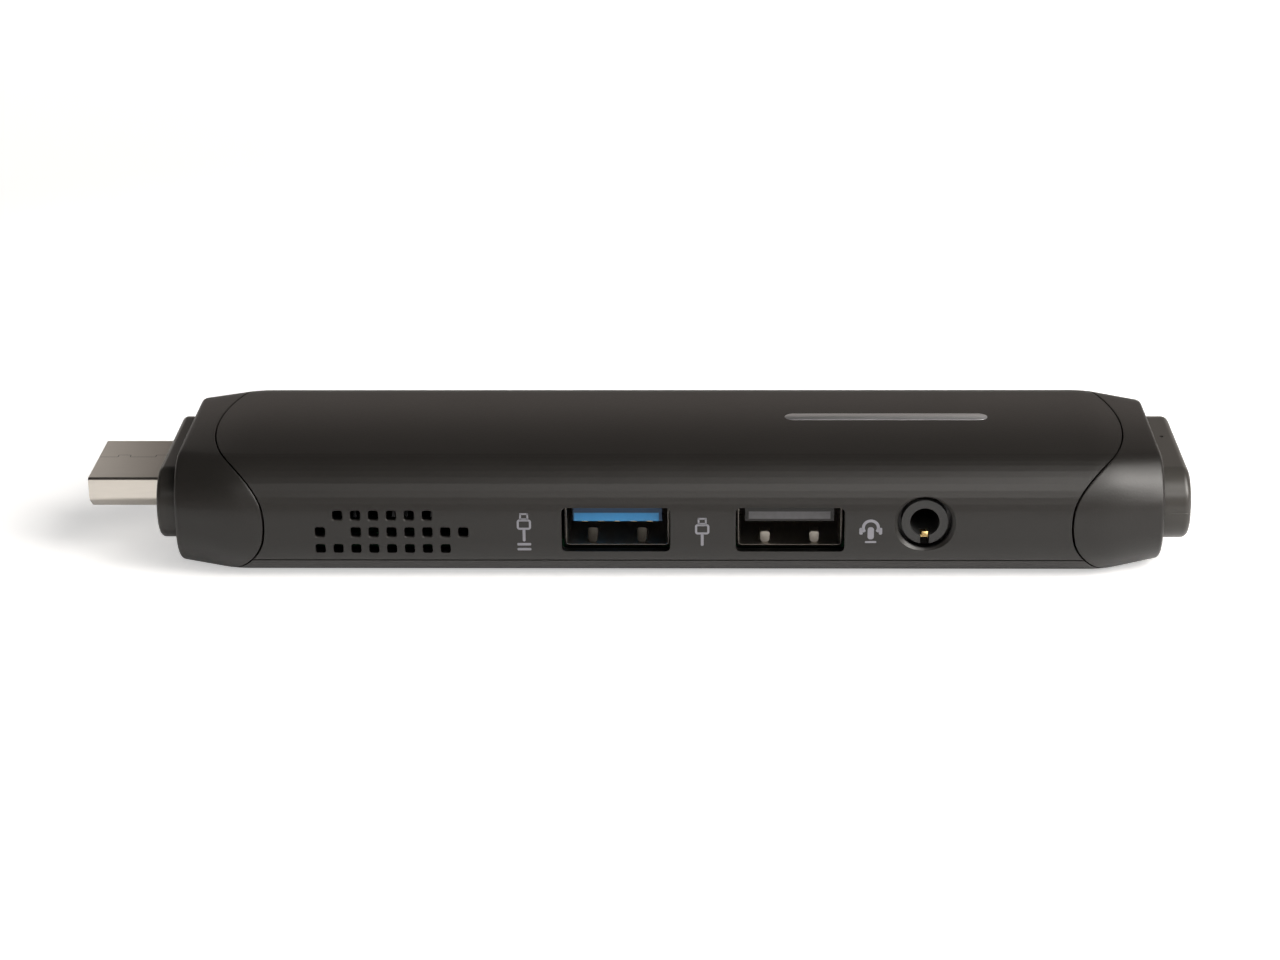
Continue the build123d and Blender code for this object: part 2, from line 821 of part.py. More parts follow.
with BuildPart() as usb2_contacts:
    with Locations((usb2_x, pad_row_y, pad_row_z)):
        with GridLocations(usb_pad_pitch, usb_pad_length, 4, 1):
            Box(usb_pad_width, usb_pad_length, usb_pad_thickness)
usb2_contacts.part.label = "usb2_contacts"
export_step(usb2_contacts.part, "parts/usb2_contacts.step")

# Headset jack: body and front ring in one moulding, with a notch, and contacts beside the bore
ring_face_y = front_y + jack_ring_recess
jack_rear_y = port_mouth_y + jack_body_depth
bore_end_y = jack_rear_y - jack_back_wall
contact_centre_radius = jack_bore_radius + jack_contact_gap + jack_contact_thickness / 2


def jack_contact_boxes(grow):
    """The contacts of the jack, each enlarged by a clearance on every side."""
    places = [(ring_face_y + jack_ring_recess + jack_contact_length / 2, -1)]
    for step in (1, 2, 3):
        places.append((places[0][0] + step * jack_contact_pitch, 1 if step % 2 else -1))
    for contact_y, side in places:
        with Locations((jack_x, contact_y, jack_z + side * contact_centre_radius)):
            Box(
                jack_contact_width + 2 * grow,
                jack_contact_length + 2 * grow,
                jack_contact_thickness + 2 * grow,
                mode=Mode.ADD if grow == 0 else Mode.SUBTRACT,
            )


with BuildPart() as audio_jack_body:
    block(
        (jack_x - jack_body_width / 2, jack_x + jack_body_width / 2),
        (port_mouth_y, jack_rear_y),
        (board_top, board_top + jack_body_height),
    )
    chamfer(audio_jack_body.faces().sort_by(Axis.Y)[0].edges().filter_by(Axis.X), jack_body_chamfer)
    with BuildSketch(side_plane(ring_face_y)):
        with Locations((jack_x, jack_z)):
            Circle(jack_ring_radius)
    extrude(amount=ring_face_y - port_mouth_y - overrun)
    with BuildSketch(side_plane(ring_face_y - overrun)):
        with Locations((jack_x, jack_z)):
            Circle(jack_bore_radius)
    extrude(amount=ring_face_y - overrun - bore_end_y, mode=Mode.SUBTRACT)
    block(
        (jack_x - jack_notch_width / 2, jack_x + jack_notch_width / 2),
        (ring_face_y - overrun, ring_face_y + jack_notch_depth),
        (jack_z - jack_ring_radius - overrun, jack_z),
        mode=Mode.SUBTRACT,
    )
    jack_contact_boxes(shaft_gap)
audio_jack_body.part.label = "audio_jack_body"
export_step(audio_jack_body.part, "parts/audio_jack_body.step")

with BuildPart() as audio_jack_contacts:
    jack_contact_boxes(0)
audio_jack_contacts.part.label = "audio_jack_contacts"
export_step(audio_jack_contacts.part, "parts/audio_jack_contacts.step")

# Power inlet: shell, tongue on its block, and contacts
inlet_mouth_y = rear_inner_y - fit_gap
inlet_rear_y = inlet_mouth_y - inlet_depth
with BuildPart() as power_inlet_shell:
    with BuildSketch(side_plane(inlet_mouth_y)):
        with Locations((inlet_x, inlet_z)):
            RectangleRounded(inlet_width, inlet_height, inlet_corner)
            RectangleRounded(
                inlet_width - 2 * inlet_wall,
                inlet_height - 2 * inlet_wall,
                inlet_corner - inlet_wall,
                mode=Mode.SUBTRACT,
            )
    extrude(amount=inlet_depth)
power_inlet_shell.part.label = "power_inlet_shell"
export_step(power_inlet_shell.part, "parts/power_inlet_shell.step")

with BuildPart() as power_inlet_tongue:
    with BuildSketch(side_plane(inlet_rear_y + inlet_block_depth)):
        with Locations((inlet_x, inlet_z)):
            RectangleRounded(
                inlet_width - 2 * inlet_wall, inlet_height - 2 * inlet_wall, inlet_corner - inlet_wall
            )
    extrude(amount=inlet_block_depth)
    block(
        (inlet_x - inlet_tongue_width / 2, inlet_x + inlet_tongue_width / 2),
        (inlet_rear_y + inlet_block_depth / 2, inlet_mouth_y - inlet_tongue_recess),
        (inlet_z - inlet_tongue_thickness / 2, inlet_z + inlet_tongue_thickness / 2),
    )
power_inlet_tongue.part.label = "power_inlet_tongue"
export_step(power_inlet_tongue.part, "parts/power_inlet_tongue.step")

with BuildPart() as power_inlet_contacts:
    inlet_pad_y = inlet_mouth_y - inlet_tongue_recess - inlet_pad_length / 2
    inlet_pad_z = inlet_z - inlet_tongue_thickness / 2 - inlet_pad_thickness / 2
    with Locations((inlet_x, inlet_pad_y, inlet_pad_z)):
        with GridLocations(inlet_pad_pitch, inlet_pad_length, inlet_pad_count, 1):
            Box(inlet_pad_width, inlet_pad_length, inlet_pad_thickness)
power_inlet_contacts.part.label = "power_inlet_contacts"
export_step(power_inlet_contacts.part, "parts/power_inlet_contacts.step")

# Power button: cap, flange behind the wall and stem in one moulding; it moves towards -Y
button_face_y = -front_y - button_recess
flange_y = rear_inner_y - button_gap
stem_y = flange_y - flange_thickness - stem_length
plunger_z = board_top + switch_height - plunger_height
with BuildPart() as power_button:
    with BuildSketch(side_plane(button_face_y)):
        with Locations((button_x, mid_height)):
            SlotOverall(button_length, button_height)
    extrude(amount=button_face_y - flange_y + flange_thickness / 2)
    with BuildSketch(side_plane(flange_y)):
        with Locations((button_x, mid_height)):
            SlotOverall(flange_length, flange_height)
    extrude(amount=flange_thickness)
    block(
        (button_x - stem_width / 2, button_x + stem_width / 2),
        (stem_y, flange_y - flange_thickness / 2),
        (plunger_z - plunger_height / 2, mid_height + flange_height / 2),
    )
power_button.part.label = "power_button"
export_step(power_button.part, "parts/power_button.step")

with BuildPart() as switch_plunger:
    with Locations((button_x, stem_y - (plunger_reach + plunger_hold) / 2, plunger_z)):
        Box(plunger_width, plunger_reach + plunger_hold, plunger_height)
switch_plunger.part.label = "switch_plunger"
export_step(switch_plunger.part, "parts/switch_plunger.step")

switch_face_y = stem_y - plunger_reach
with BuildPart() as power_switch:
    block(
        (button_x - switch_width / 2, button_x + switch_width / 2),
        (switch_face_y - switch_depth, switch_face_y),
        (board_top, board_top + switch_height),
    )
    block(
        (button_x - plunger_width / 2 - shaft_gap, button_x + plunger_width / 2 + shaft_gap),
        (switch_face_y - plunger_hold - button_travel - fit_gap, switch_face_y + overrun),
        (plunger_z - plunger_height / 2 - shaft_gap, plunger_z + plunger_height / 2 + shaft_gap),
        mode=Mode.SUBTRACT,
    )
power_switch.part.label = "power_switch"
export_step(power_switch.part, "parts/power_switch.step")

# Status light: a bent light pipe over a small LED
light_foot_y = rear_inner_y - light_foot_room
with BuildPart() as status_light_pipe:
    with BuildSketch(side_plane(-front_y - button_recess)):
        with Locations((light_x, mid_height)):
            Circle(light_radius)
    extrude(amount=-front_y - button_recess - light_foot_y)
    with Locations((light_x, light_foot_y, board_top + led_height)):
        standing_rod(light_radius, mid_height + light_radius - board_top - led_height)
status_light_pipe.part.label = "status_light_pipe"
export_step(status_light_pipe.part, "parts/status_light_pipe.step")

with BuildPart() as status_led:
    with Locations((light_x, light_foot_y, board_top)):
        seated_box(led_width, led_depth, led_height)
status_led.part.label = "status_led"
export_step(status_led.part, "parts/status_led.step")

# Main board, clear of the casing bosses
with BuildPart() as main_board:
    with BuildSketch(Plane.XY.offset(board_floor)) as board_outline:
        with Locations(((board_start + board_end) / 2, 0)):
            Rectangle(board_end - board_start, board_width)
        chamfer(board_outline.vertices(), board_corner)
        with Locations(*boss_places):
            Circle(boss_radius + boss_hole_room, mode=Mode.SUBTRACT)
        with Locations(*board_screw_places):
            Circle(screw_radius + shaft_gap, mode=Mode.SUBTRACT)
        with Locations((chip_x, 0)):
            with GridLocations(plate_screw_x, plate_screw_y, 2, 2):
                Circle(screw_radius + shaft_gap, mode=Mode.SUBTRACT)
    extrude(amount=board_thickness)
main_board.part.label = "main_board"
export_step(main_board.part, "parts/main_board.step")

# Processor, its thermal pad, and the heat plate on four spacers
with BuildPart() as processor:
    with Locations((chip_x, 0, board_top)):
        seated_box(processor_size, processor_size, processor_height)
processor.part.label = "processor"
export_step(processor.part, "parts/processor.step")

with BuildPart() as thermal_pad:
    with Locations((chip_x, 0, pad_z)):
        seated_box(pad_size, pad_size, pad_thickness)
thermal_pad.part.label = "thermal_pad"
export_step(thermal_pad.part, "parts/thermal_pad.step")

with BuildPart() as heat_plate:
    with BuildSketch(Plane.XY.offset(plate_z)):
        with Locations((chip_x, 0)):
            Rectangle(plate_length, board_width)
            with GridLocations(plate_screw_x, plate_screw_y, 2, 2):
                Circle(screw_radius + shaft_gap, mode=Mode.SUBTRACT)
    extrude(amount=plate_thickness)
heat_plate.part.label = "heat_plate"
export_step(heat_plate.part, "parts/heat_plate.step")

with BuildPart() as plate_spacers:
    with BuildSketch(Plane.XY.offset(board_top)):
        with Locations((chip_x, 0)):
            with GridLocations(plate_screw_x, plate_screw_y, 2, 2):
                Circle(spacer_radius)
                Circle(screw_radius + shaft_gap, mode=Mode.SUBTRACT)
    extrude(amount=plate_z - board_top)
plate_spacers.part.label = "plate_spacers"
export_step(plate_spacers.part, "parts/plate_spacers.step")


def screws(places, seat_z, shank_length):
    """Cross-slotted screws with flat heads that sit on one level and shanks that point down."""
    with BuildPart() as group:
        with Locations(*[(x, y, seat_z) for x, y in places]):
            standing_rod(screw_head_radius, screw_head_height)
            Cylinder(screw_radius, shank_length, align=(Align.CENTER, Align.CENTER, Align.MAX))
        with Locations(*[(x, y, seat_z + screw_head_height) for x, y in places]):
            for length, width in ((drive_length, drive_width), (drive_width, drive_length)):
                Box(
                    length,
                    width,
                    drive_depth,
                    align=(Align.CENTER, Align.CENTER, Align.MAX),
                    mode=Mode.SUBTRACT,
                )
    return group.part


def corner_places(centre_x, spacing_x, spacing_y):
    """The four corners of a rectangle about a point on the stick's centre line."""
    return [(centre_x + i * spacing_x / 2, j * spacing_y / 2) for i in (-1, 1) for j in (-1, 1)]


with BuildPart() as plate_screws:
    add(screws(corner_places(chip_x, plate_screw_x, plate_screw_y), plate_top, plate_top - board_floor))
plate_screws.part.label = "plate_screws"
export_step(plate_screws.part, "parts/plate_screws.step")

with BuildPart() as board_screws:
    add(screws(board_screw_places, board_top, board_thickness + board_screw_grip))
board_screws.part.label = "board_screws"
export_step(board_screws.part, "parts/board_screws.step")

# Fins behind the vent grid
with BuildPart() as fin_stack:
    fin_row = (fin_count - 1) * fin_pitch + fin_thickness
    block(
        (chip_x - fin_row / 2, chip_x + fin_row / 2),
        (fin_front_y, fin_front_y + fin_depth),
        (plate_top, plate_top + fin_base),
    )
    with Locations((chip_x, fin_front_y + fin_depth / 2, plate_top + fin_height / 2)):
        with GridLocations(fin_pitch, fin_depth, fin_count, 1):
            Box(fin_thickness, fin_depth, fin_height)
fin_stack.part.label = "fin_stack"
export_step(fin_stack.part, "parts/fin_stack.step")

# Fan: housing with a round chamber, an outlet towards the fins and a bearing tube
with BuildPart() as fan_housing:
    with Locations((chip_x, fan_y, plate_top)):
        seated_box(fan_length, fan_width, fan_height - fan_cover_thickness)
    with Locations((chip_x, fan_y, fan_chamber_z)):
        standing_rod(fan_chamber_radius, fan_height, mode=Mode.SUBTRACT)
    block(
        (chip_x - fan_outlet_width / 2, chip_x + fan_outlet_width / 2),
        (fan_front_y - overrun, fan_y),
        (fan_chamber_z, plate_top + fan_height),
        mode=Mode.SUBTRACT,
    )
    with Locations((chip_x, fan_y, fan_chamber_z)):
        standing_rod(bearing_radius, bearing_height)
    with Locations((chip_x, fan_y, fan_chamber_z + fan_floor / 2)):
        standing_rod(shaft_radius + shaft_gap, bearing_height + overrun, mode=Mode.SUBTRACT)
fan_housing.part.label = "fan_housing"
export_step(fan_housing.part, "parts/fan_housing.step")

with BuildPart() as fan_cover:
    with BuildSketch(Plane.XY.offset(fan_cover_z)):
        with Locations((chip_x, fan_y)):
            Rectangle(fan_length, fan_width)
            Circle(fan_inlet_radius, mode=Mode.SUBTRACT)
    extrude(amount=fan_cover_thickness)
fan_cover.part.label = "fan_cover"
export_step(fan_cover.part, "parts/fan_cover.step")

# Rotor: a cup with blades around it, a ring magnet in the cup and a shaft under its roof
rotor_floor = fan_chamber_z + rotor_floor_gap
rotor_top = rotor_floor + blade_height
hub_inner = hub_radius - hub_wall
with BuildPart() as fan_rotor:
    with Locations((chip_x, fan_y, rotor_floor)):
        standing_rod(hub_radius, blade_height)
        with PolarLocations(0, blade_count):
            with Locations(((hub_radius - blade_root + rotor_radius) / 2, 0, 0)):
                seated_box(rotor_radius - hub_radius + blade_root, blade_thickness, blade_height)
        standing_rod(hub_inner, blade_height - hub_roof, mode=Mode.SUBTRACT)
fan_rotor.part.label = "fan_rotor"
export_step(fan_rotor.part, "parts/fan_rotor.step")

with BuildPart() as fan_magnet:
    with Locations((chip_x, fan_y, rotor_top - hub_roof - magnet_height)):
        standing_rod(hub_inner, magnet_height)
        standing_rod(hub_inner - magnet_thickness, magnet_height, mode=Mode.SUBTRACT)
fan_magnet.part.label = "fan_magnet"
export_step(fan_magnet.part, "parts/fan_magnet.step")

with BuildPart() as fan_shaft:
    shaft_foot = fan_chamber_z + fan_floor / 2 + fit_gap
    with Locations((chip_x, fan_y, shaft_foot)):
        standing_rod(shaft_radius, rotor_top - hub_roof - shaft_foot)
fan_shaft.part.label = "fan_shaft"
export_step(fan_shaft.part, "parts/fan_shaft.step")

with BuildPart() as fan_stator:
    with Locations((chip_x, fan_y, fan_chamber_z + stator_lift)):
        standing_rod(stator_radius, stator_height)
        with PolarLocations((stator_core_radius + stator_radius + overrun) / 2, stator_pole_count):
            Box(
                stator_radius + overrun - stator_core_radius,
                stator_slot_width,
                stator_height,
                align=(Align.CENTER, Align.CENTER, Align.MIN),
                mode=Mode.SUBTRACT,
            )
        standing_rod(bearing_radius + shaft_gap, stator_height, mode=Mode.SUBTRACT)
fan_stator.part.label = "fan_stator"
export_step(fan_stator.part, "parts/fan_stator.step")

# Chips and small parts
memory_width = (board_width - memory_gap) / 2 - memory_side_room
with BuildPart() as memory_chips:
    with Locations((chip_x, 0, board_floor - memory_height)):
        with GridLocations(memory_spacing_x, memory_width + memory_gap, 2, 2):
            seated_box(memory_length, memory_width, memory_height)
memory_chips.part.label = "memory_chips"
export_step(memory_chips.part, "parts/memory_chips.step")

with BuildPart() as storage_chip:
    with Locations((usb3_x, storage_y, board_floor - storage_height)):
        seated_box(storage_length, storage_width, storage_height)
storage_chip.part.label = "storage_chip"
export_step(storage_chip.part, "parts/storage_chip.step")

with BuildPart() as firmware_chip:
    with Locations((jack_x, firmware_y, board_floor - firmware_height)):
        seated_box(firmware_length, firmware_width, firmware_height)
firmware_chip.part.label = "firmware_chip"
export_step(firmware_chip.part, "parts/firmware_chip.step")

with BuildPart() as power_chip:
    with Locations((usb2_x, power_chip_y, board_floor - power_chip_height)):
        seated_box(power_chip_size, power_chip_size, power_chip_height)
power_chip.part.label = "power_chip"
export_step(power_chip.part, "parts/power_chip.step")

with BuildPart() as audio_chip:
    with Locations((jack_x, audio_chip_y, board_floor - audio_chip_height)):
        seated_box(audio_chip_size, audio_chip_size, audio_chip_height)
audio_chip.part.label = "audio_chip"
export_step(audio_chip.part, "parts/audio_chip.step")

with BuildPart() as crystal:
    with Locations((usb3_x, crystal_y, board_top)):
        seated_box(crystal_length, crystal_width, crystal_height)
crystal.part.label = "crystal"
export_step(crystal.part, "parts/crystal.step")

with BuildPart() as power_coils:
    with Locations((usb2_x, (socket_rear_y + inlet_rear_y) / 2, board_top)):
        with GridLocations(coil_spacing, coil_size, coil_count, 1):
            seated_box(coil_size, coil_size, coil_height)
power_coils.part.label = "power_coils"
export_step(power_coils.part, "parts/power_coils.step")

with BuildPart() as capacitors:
    with Locations((between_usb_and_jack_x, capacitor_y, board_top)):
        with GridLocations(capacitor_spacing_x, capacitor_spacing_y, capacitor_count_x, capacitor_count_y):
            seated_box(capacitor_length, capacitor_width, capacitor_height)
capacitors.part.label = "capacitors"
export_step(capacitors.part, "parts/capacitors.step")

# Wireless module with its shield, two antennas under the roof and the leads between them
module_x = tail_face_x - module_set_back
module_y = rear_inner_y - module_rear_room
module_top = board_top + module_thickness
with BuildPart() as wireless_module:
    with Locations((module_x, module_y, board_top)):
        seated_box(module_length, module_width, module_thickness)
wireless_module.part.label = "wireless_module"
export_step(wireless_module.part, "parts/wireless_module.step")

module_start = module_x - module_length / 2
shield_end = module_x + module_length / 2 - shield_inset
with BuildPart() as wireless_shield:
    block(
        (shield_end - shield_length, shield_end),
        (module_y + shield_inset - module_width / 2, module_y + module_width / 2 - shield_inset),
        (module_top, module_top + shield_height),
    )
wireless_shield.part.label = "wireless_shield"
export_step(wireless_shield.part, "parts/wireless_shield.step")

antenna_x = tail_face_x - antenna_set_back
antenna_y = body_width / 2 - antenna_side_room
antenna_floor = roof_z - antenna_thickness
with BuildPart() as antennas:
    with Locations((antenna_x, -antenna_y, antenna_floor), (antenna_x, antenna_y, antenna_floor)):
        seated_box(antenna_length, antenna_width, antenna_thickness)
antennas.part.label = "antennas"
export_step(antennas.part, "parts/antennas.step")

with BuildPart() as antenna_leads:
    lead_x = module_start + lead_inset
    lead_level = antenna_floor - lead_drop
    for side in (-1, 1):
        with BuildLine() as lead_route:
            FilletPolyline(
                (lead_x, module_y + side * lead_y, module_top),
                (lead_x, module_y + side * lead_y, lead_level),
                (antenna_x, side * antenna_y, lead_level),
                (antenna_x, side * antenna_y, antenna_floor),
                radius=lead_bend,
            )
        with BuildSketch(Plane.XY.offset(module_top)):
            with Locations((lead_x, module_y + side * lead_y)):
                Circle(lead_radius)
        sweep(path=lead_route.wires()[0])
antenna_leads.part.label = "antenna_leads"
export_step(antenna_leads.part, "parts/antenna_leads.step")

# Casing screws, seen from below in their recesses
with BuildPart() as casing_screws:
    head_floor = casing_head_recess - casing_head_height
    with Locations(*[(x, y, head_floor) for x, y in boss_places]):
        standing_rod(casing_head_radius, casing_head_height)
        standing_rod(casing_screw_radius, roof_wall - head_floor + casing_screw_grip)
        for length, width in ((drive_length, drive_width), (drive_width, drive_length)):
            Box(length, width, drive_depth, align=(Align.CENTER, Align.CENTER, Align.MIN), mode=Mode.SUBTRACT)
casing_screws.part.label = "casing_screws"
export_step(casing_screws.part, "parts/casing_screws.step")
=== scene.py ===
from math import asin, cos, pi, radians, sin, sqrt

import bmesh
import bpy
from mathutils import Matrix, Vector


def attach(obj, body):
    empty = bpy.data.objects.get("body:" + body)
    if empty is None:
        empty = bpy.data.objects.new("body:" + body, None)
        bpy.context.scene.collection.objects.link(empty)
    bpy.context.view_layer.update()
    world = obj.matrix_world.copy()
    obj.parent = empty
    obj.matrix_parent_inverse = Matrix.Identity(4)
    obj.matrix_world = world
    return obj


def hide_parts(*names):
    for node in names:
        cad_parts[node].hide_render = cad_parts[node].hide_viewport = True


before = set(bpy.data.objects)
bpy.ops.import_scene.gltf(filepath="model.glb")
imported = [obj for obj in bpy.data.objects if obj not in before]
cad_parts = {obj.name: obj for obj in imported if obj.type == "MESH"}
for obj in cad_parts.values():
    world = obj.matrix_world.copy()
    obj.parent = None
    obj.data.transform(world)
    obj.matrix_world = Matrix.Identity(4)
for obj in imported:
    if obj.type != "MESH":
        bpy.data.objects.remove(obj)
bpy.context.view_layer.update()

scene = bpy.context.scene
MM = 0.001

# Camera
# A long lens looks at the port side from a little above the stick, from the distance that brings
# both ends of the stick to where the photograph has them.
camera_distance = 392.0 * MM
camera_target = Vector((0.546 * MM, 0, 7.047 * MM))
azimuth, elevation, roll = radians(1.44), radians(20.891), radians(-0.49)
back = Vector((sin(azimuth) * cos(elevation), -cos(azimuth) * cos(elevation), sin(elevation)))
level = Vector((cos(azimuth), sin(azimuth), 0))
upright = back.cross(level)
right = level * cos(roll) + upright * sin(roll)
up = upright * cos(roll) - level * sin(roll)
camera_data = bpy.data.cameras.new("camera")
camera_data.lens = 86.126
camera_data.sensor_width = 36
camera_data.clip_start = 0.01
camera = bpy.data.objects.new("camera", camera_data)
camera.matrix_world = Matrix.Translation(camera_target + back * camera_distance) @ Matrix(
    (right, up, back)
).transposed().to_4x4()
scene.collection.objects.link(camera)
scene.camera = camera

# Studio
# A pale sweep under the stick, wide softboxes overhead and in front, smaller ones from the right,
# and a dim card behind the plug for its bright upper face.
scene.view_settings.view_transform = "Standard"


def material(name):
    """A new material, with its node tree and its shader."""
    made = bpy.data.materials.new(name)
    made.use_nodes = True
    return made, made.node_tree, made.node_tree.nodes["Principled BSDF"]


def fill(made, inputs):
    """Gives a node's sockets what they take: another node's output, or a plain value."""
    for name, setting in inputs.items():
        if isinstance(setting, bpy.types.NodeSocket):
            made.id_data.links.new(setting, made.inputs[name])
        else:
            made.inputs[name].default_value = setting


def node(tree, kind, inputs=(), **settings):
    """A node of that kind with its properties and its inputs set."""
    made = tree.nodes.new(kind)
    for key, value in settings.items():
        setattr(made, key, value)
    fill(made, dict(inputs))
    return made


def worked_out(tree, operation, *settings):
    """One step of arithmetic on sockets or plain numbers."""
    return node(tree, "ShaderNodeMath", enumerate(settings), operation=operation).outputs[0]


def ranged(tree, value, low, high, start=0, end=1, kind="LINEAR"):
    """What goes from a start to an end as a value goes from one limit to the other."""
    inputs = {"Value": value, "From Min": low, "From Max": high, "To Min": start, "To Max": end}
    return node(tree, "ShaderNodeMapRange", inputs, interpolation_type=kind).outputs["Result"]


def own_place(tree):
    """The place on an object, in its own coordinates."""
    return node(tree, "ShaderNodeTexCoord").outputs["Object"]


def noise(tree, place, scale, detail=2):
    """A noise laid over an object, at a scale and with so many finer layers."""
    inputs = {"Vector": place, "Scale": scale, "Detail": detail}
    return node(tree, "ShaderNodeTexNoise", inputs).outputs["Fac"]


def mixed(tree, factor, *colours):
    """A colour between two, which are sockets or plain colours."""
    first, second = ((*colour, 1) if isinstance(colour, tuple) else colour for colour in colours)
    inputs = {"Factor": factor, "A": first, "B": second}
    return node(tree, "ShaderNodeMix", inputs, data_type="RGBA").outputs["Result"]


def split_up(tree, vector):
    """The sockets for X, Y and Z of a vector."""
    return node(tree, "ShaderNodeSeparateXYZ", {"Vector": vector}).outputs


def seen_directly(tree):
    """1 for what the camera sees, straight or through glass, and 0 for the light on the part."""
    rays = node(tree, "ShaderNodeLightPath").outputs
    return worked_out(tree, "MAXIMUM", rays["Is Camera Ray"], rays["Is Transmission Ray"])


def as_object(name, mesh):
    """A mesh as an object in the scene."""
    data = bpy.data.meshes.new(name)
    mesh.to_mesh(data)
    mesh.free()
    made = bpy.data.objects.new(name, data)
    scene.collection.objects.link(made)
    return made


mesh = bmesh.new()
bmesh.ops.create_grid(mesh, x_segments=2, y_segments=2, size=3.0)
floor = as_object("floor", mesh)

# The paper glows for the camera, more so further away, and faintly in what the part mirrors.
paper, tree, shader = material("white_paper")
away = node(tree, "ShaderNodeVectorMath", {0: own_place(tree)}, operation="LENGTH")
brightness = ranged(tree, away.outputs["Value"], 0.2, 0.6, 0.5, 1.0)
glossy_ray = node(tree, "ShaderNodeLightPath").outputs["Is Glossy Ray"]
mirrored = worked_out(tree, "MULTIPLY", glossy_ray, 0.12)
paper_grain = noise(tree, own_place(tree), 400)
fill(
    shader,
    {
        "Base Color": mixed(tree, paper_grain, (0.80, 0.80, 0.80), (0.84, 0.84, 0.84)),
        "Roughness": 0.9,
        "Specular IOR Level": 0.1,
        "Emission Color": (1, 1, 1, 1),
        "Emission Strength": worked_out(
            tree, "MULTIPLY_ADD", seen_directly(tree), brightness, mirrored
        ),
    },
)
floor.data.materials.append(paper)

# The room is dim, with a pale strip below the middle. The camera sees it as plain white.
world = bpy.data.worlds.new("studio")
scene.world = world
world.use_nodes = True
tree = world.node_tree
height = split_up(tree, node(tree, "ShaderNodeTexCoord").outputs["Generated"])["Z"]
ramp = node(tree, "ShaderNodeValToRGB", {"Fac": height})
stops = ramp.color_ramp.elements
stops[0].color = (0.02, 0.02, 0.02, 1)
stops[1].color = (0.03, 0.03, 0.03, 1)
for position, colour in ((0.17, (0.68, 0.60, 0.55)), (0.34, (0.02, 0.02, 0.02))):
    stops.new(position).color = (*colour, 1)
backdrop = mixed(tree, seen_directly(tree), ramp.outputs["Color"], (1, 1, 1))
fill(tree.nodes["Background"], {"Color": backdrop})


def softbox(name, centre, aim, width, depth, power):
    """A rectangular lamp that faces the point that it is aimed at."""
    lamp = bpy.data.lights.new(name, "AREA")
    lamp.shape = "RECTANGLE"
    lamp.size = width
    lamp.size_y = depth
    lamp.energy = power
    lamp.color = (1, 0.97, 0.93)
    holder = bpy.data.objects.new(name, lamp)
    holder.matrix_world = Matrix.Translation(centre) @ (
        (Vector(centre) - Vector(aim)).to_track_quat("Z", "Y").to_matrix().to_4x4()
    )
    scene.collection.objects.link(holder)


softbox("overhead_box", (0.34, -0.16, 0.52), (0, 0, 0), 0.6, 0.30, 2.45)
softbox("overhead_right_box", (0.44, -0.16, 0.46), (0, 0, 0), 0.28, 0.28, 0.6)
softbox("front_box", (0.20, -0.66, 0.50), (0, 0, 0), 0.7, 0.26, 1.85)
softbox("right_box", (0.55, -0.24, 0.36), (0, 0, 0.01), 0.3, 0.3, 3.2)
softbox("plug_card", (-0.118, 0.13, 0.058), (-0.063, 0, 0.010), 0.05, 0.05, 0.004)

# Top casing
# One moulding in warm dark grey plastic with a fine satin grain. It wraps the roof and both sides,
# ends in curved seams against the two shrouds, and carries the ports, vents and rear button.
tip_x = -68.95 * MM
plug_face_x = -56.8 * MM
tail_face_x = 65.4 * MM
mid_z = 7.5 * MM
body_half_width, body_half_height, body_radius = 17.0 * MM, 7.5 * MM, 5.5 * MM
# What the body loses of its half width and height, and gains in radius, up to each end face.
width_taper, radius_taper = 1.9 * MM, 0.5 * MM
height_tapers = {-1: 0.35 * MM, 1: 0.65 * MM}
taper_length, taper_blend = 7.2 * MM, 0.22
roof_slope = radians(0.5)
parting_z = 2.5 * MM
casing_inset = 0.02 * MM


def section(x):
    """Half width, half height and side radius of the body at one place along it."""
    reach = min(x - plug_face_x, tail_face_x - x) / taper_length
    if reach > 1 + taper_blend:
        drawn = 0
    elif reach < 1 - taper_blend:
        drawn = 1 - reach
    else:
        drawn = (1 + taper_blend - reach) ** 2 / (4 * taper_blend)
    drawn = min(drawn, 1)
    height_taper = height_tapers[-1 if x < 0 else 1]
    return (
        body_half_width - width_taper * drawn - casing_inset,
        body_half_height - height_taper * drawn - casing_inset,
        body_radius + radius_taper * drawn,
    )


def skin(x, place, side_inset=0, roof_inset=0):
    """A point of the body's skin, by the kind and side of its place and how far along it is."""
    half_width, half_height, radius = section(x)
    half_width -= side_inset
    half_height -= roof_inset
    radius -= side_inset
    kind, side, along = place
    low_centre = radius - half_height
    crown = (half_width - radius + radius * sin(roof_slope)) / sin(roof_slope)
    high_centre = half_height - radius * cos(roof_slope) - crown * (1 - cos(roof_slope))
    if kind == "roof":
        turn = roof_slope * along
        y, z = crown * sin(turn), half_height - crown * (1 - cos(turn))
    elif kind == "shoulder":
        turn = (pi / 2 - roof_slope) * along
        y = side * (half_width - radius + radius * cos(turn))
        z = high_centre + radius * sin(turn)
    elif kind == "side":
        y, z = side * half_width, low_centre + (high_centre - low_centre) * along
    elif kind == "foot":
        parting = asin((mid_z - parting_z + low_centre) / radius)
        turn = parting * along if along < 1 else parting + (pi / 2 - parting) * (along - 1)
        y = side * (half_width - radius + radius * cos(turn))
        z = low_centre - radius * sin(turn)
    else:
        y, z = (half_width - radius) * along, -half_height
    return Vector((x, y, mid_z + z))


seam_waist = 29.5 * MM
seam_side_radius = 12.6 * MM
seam_axes = {-1: plug_face_x + 35.6 * MM, 1: tail_face_x - 35.75 * MM}


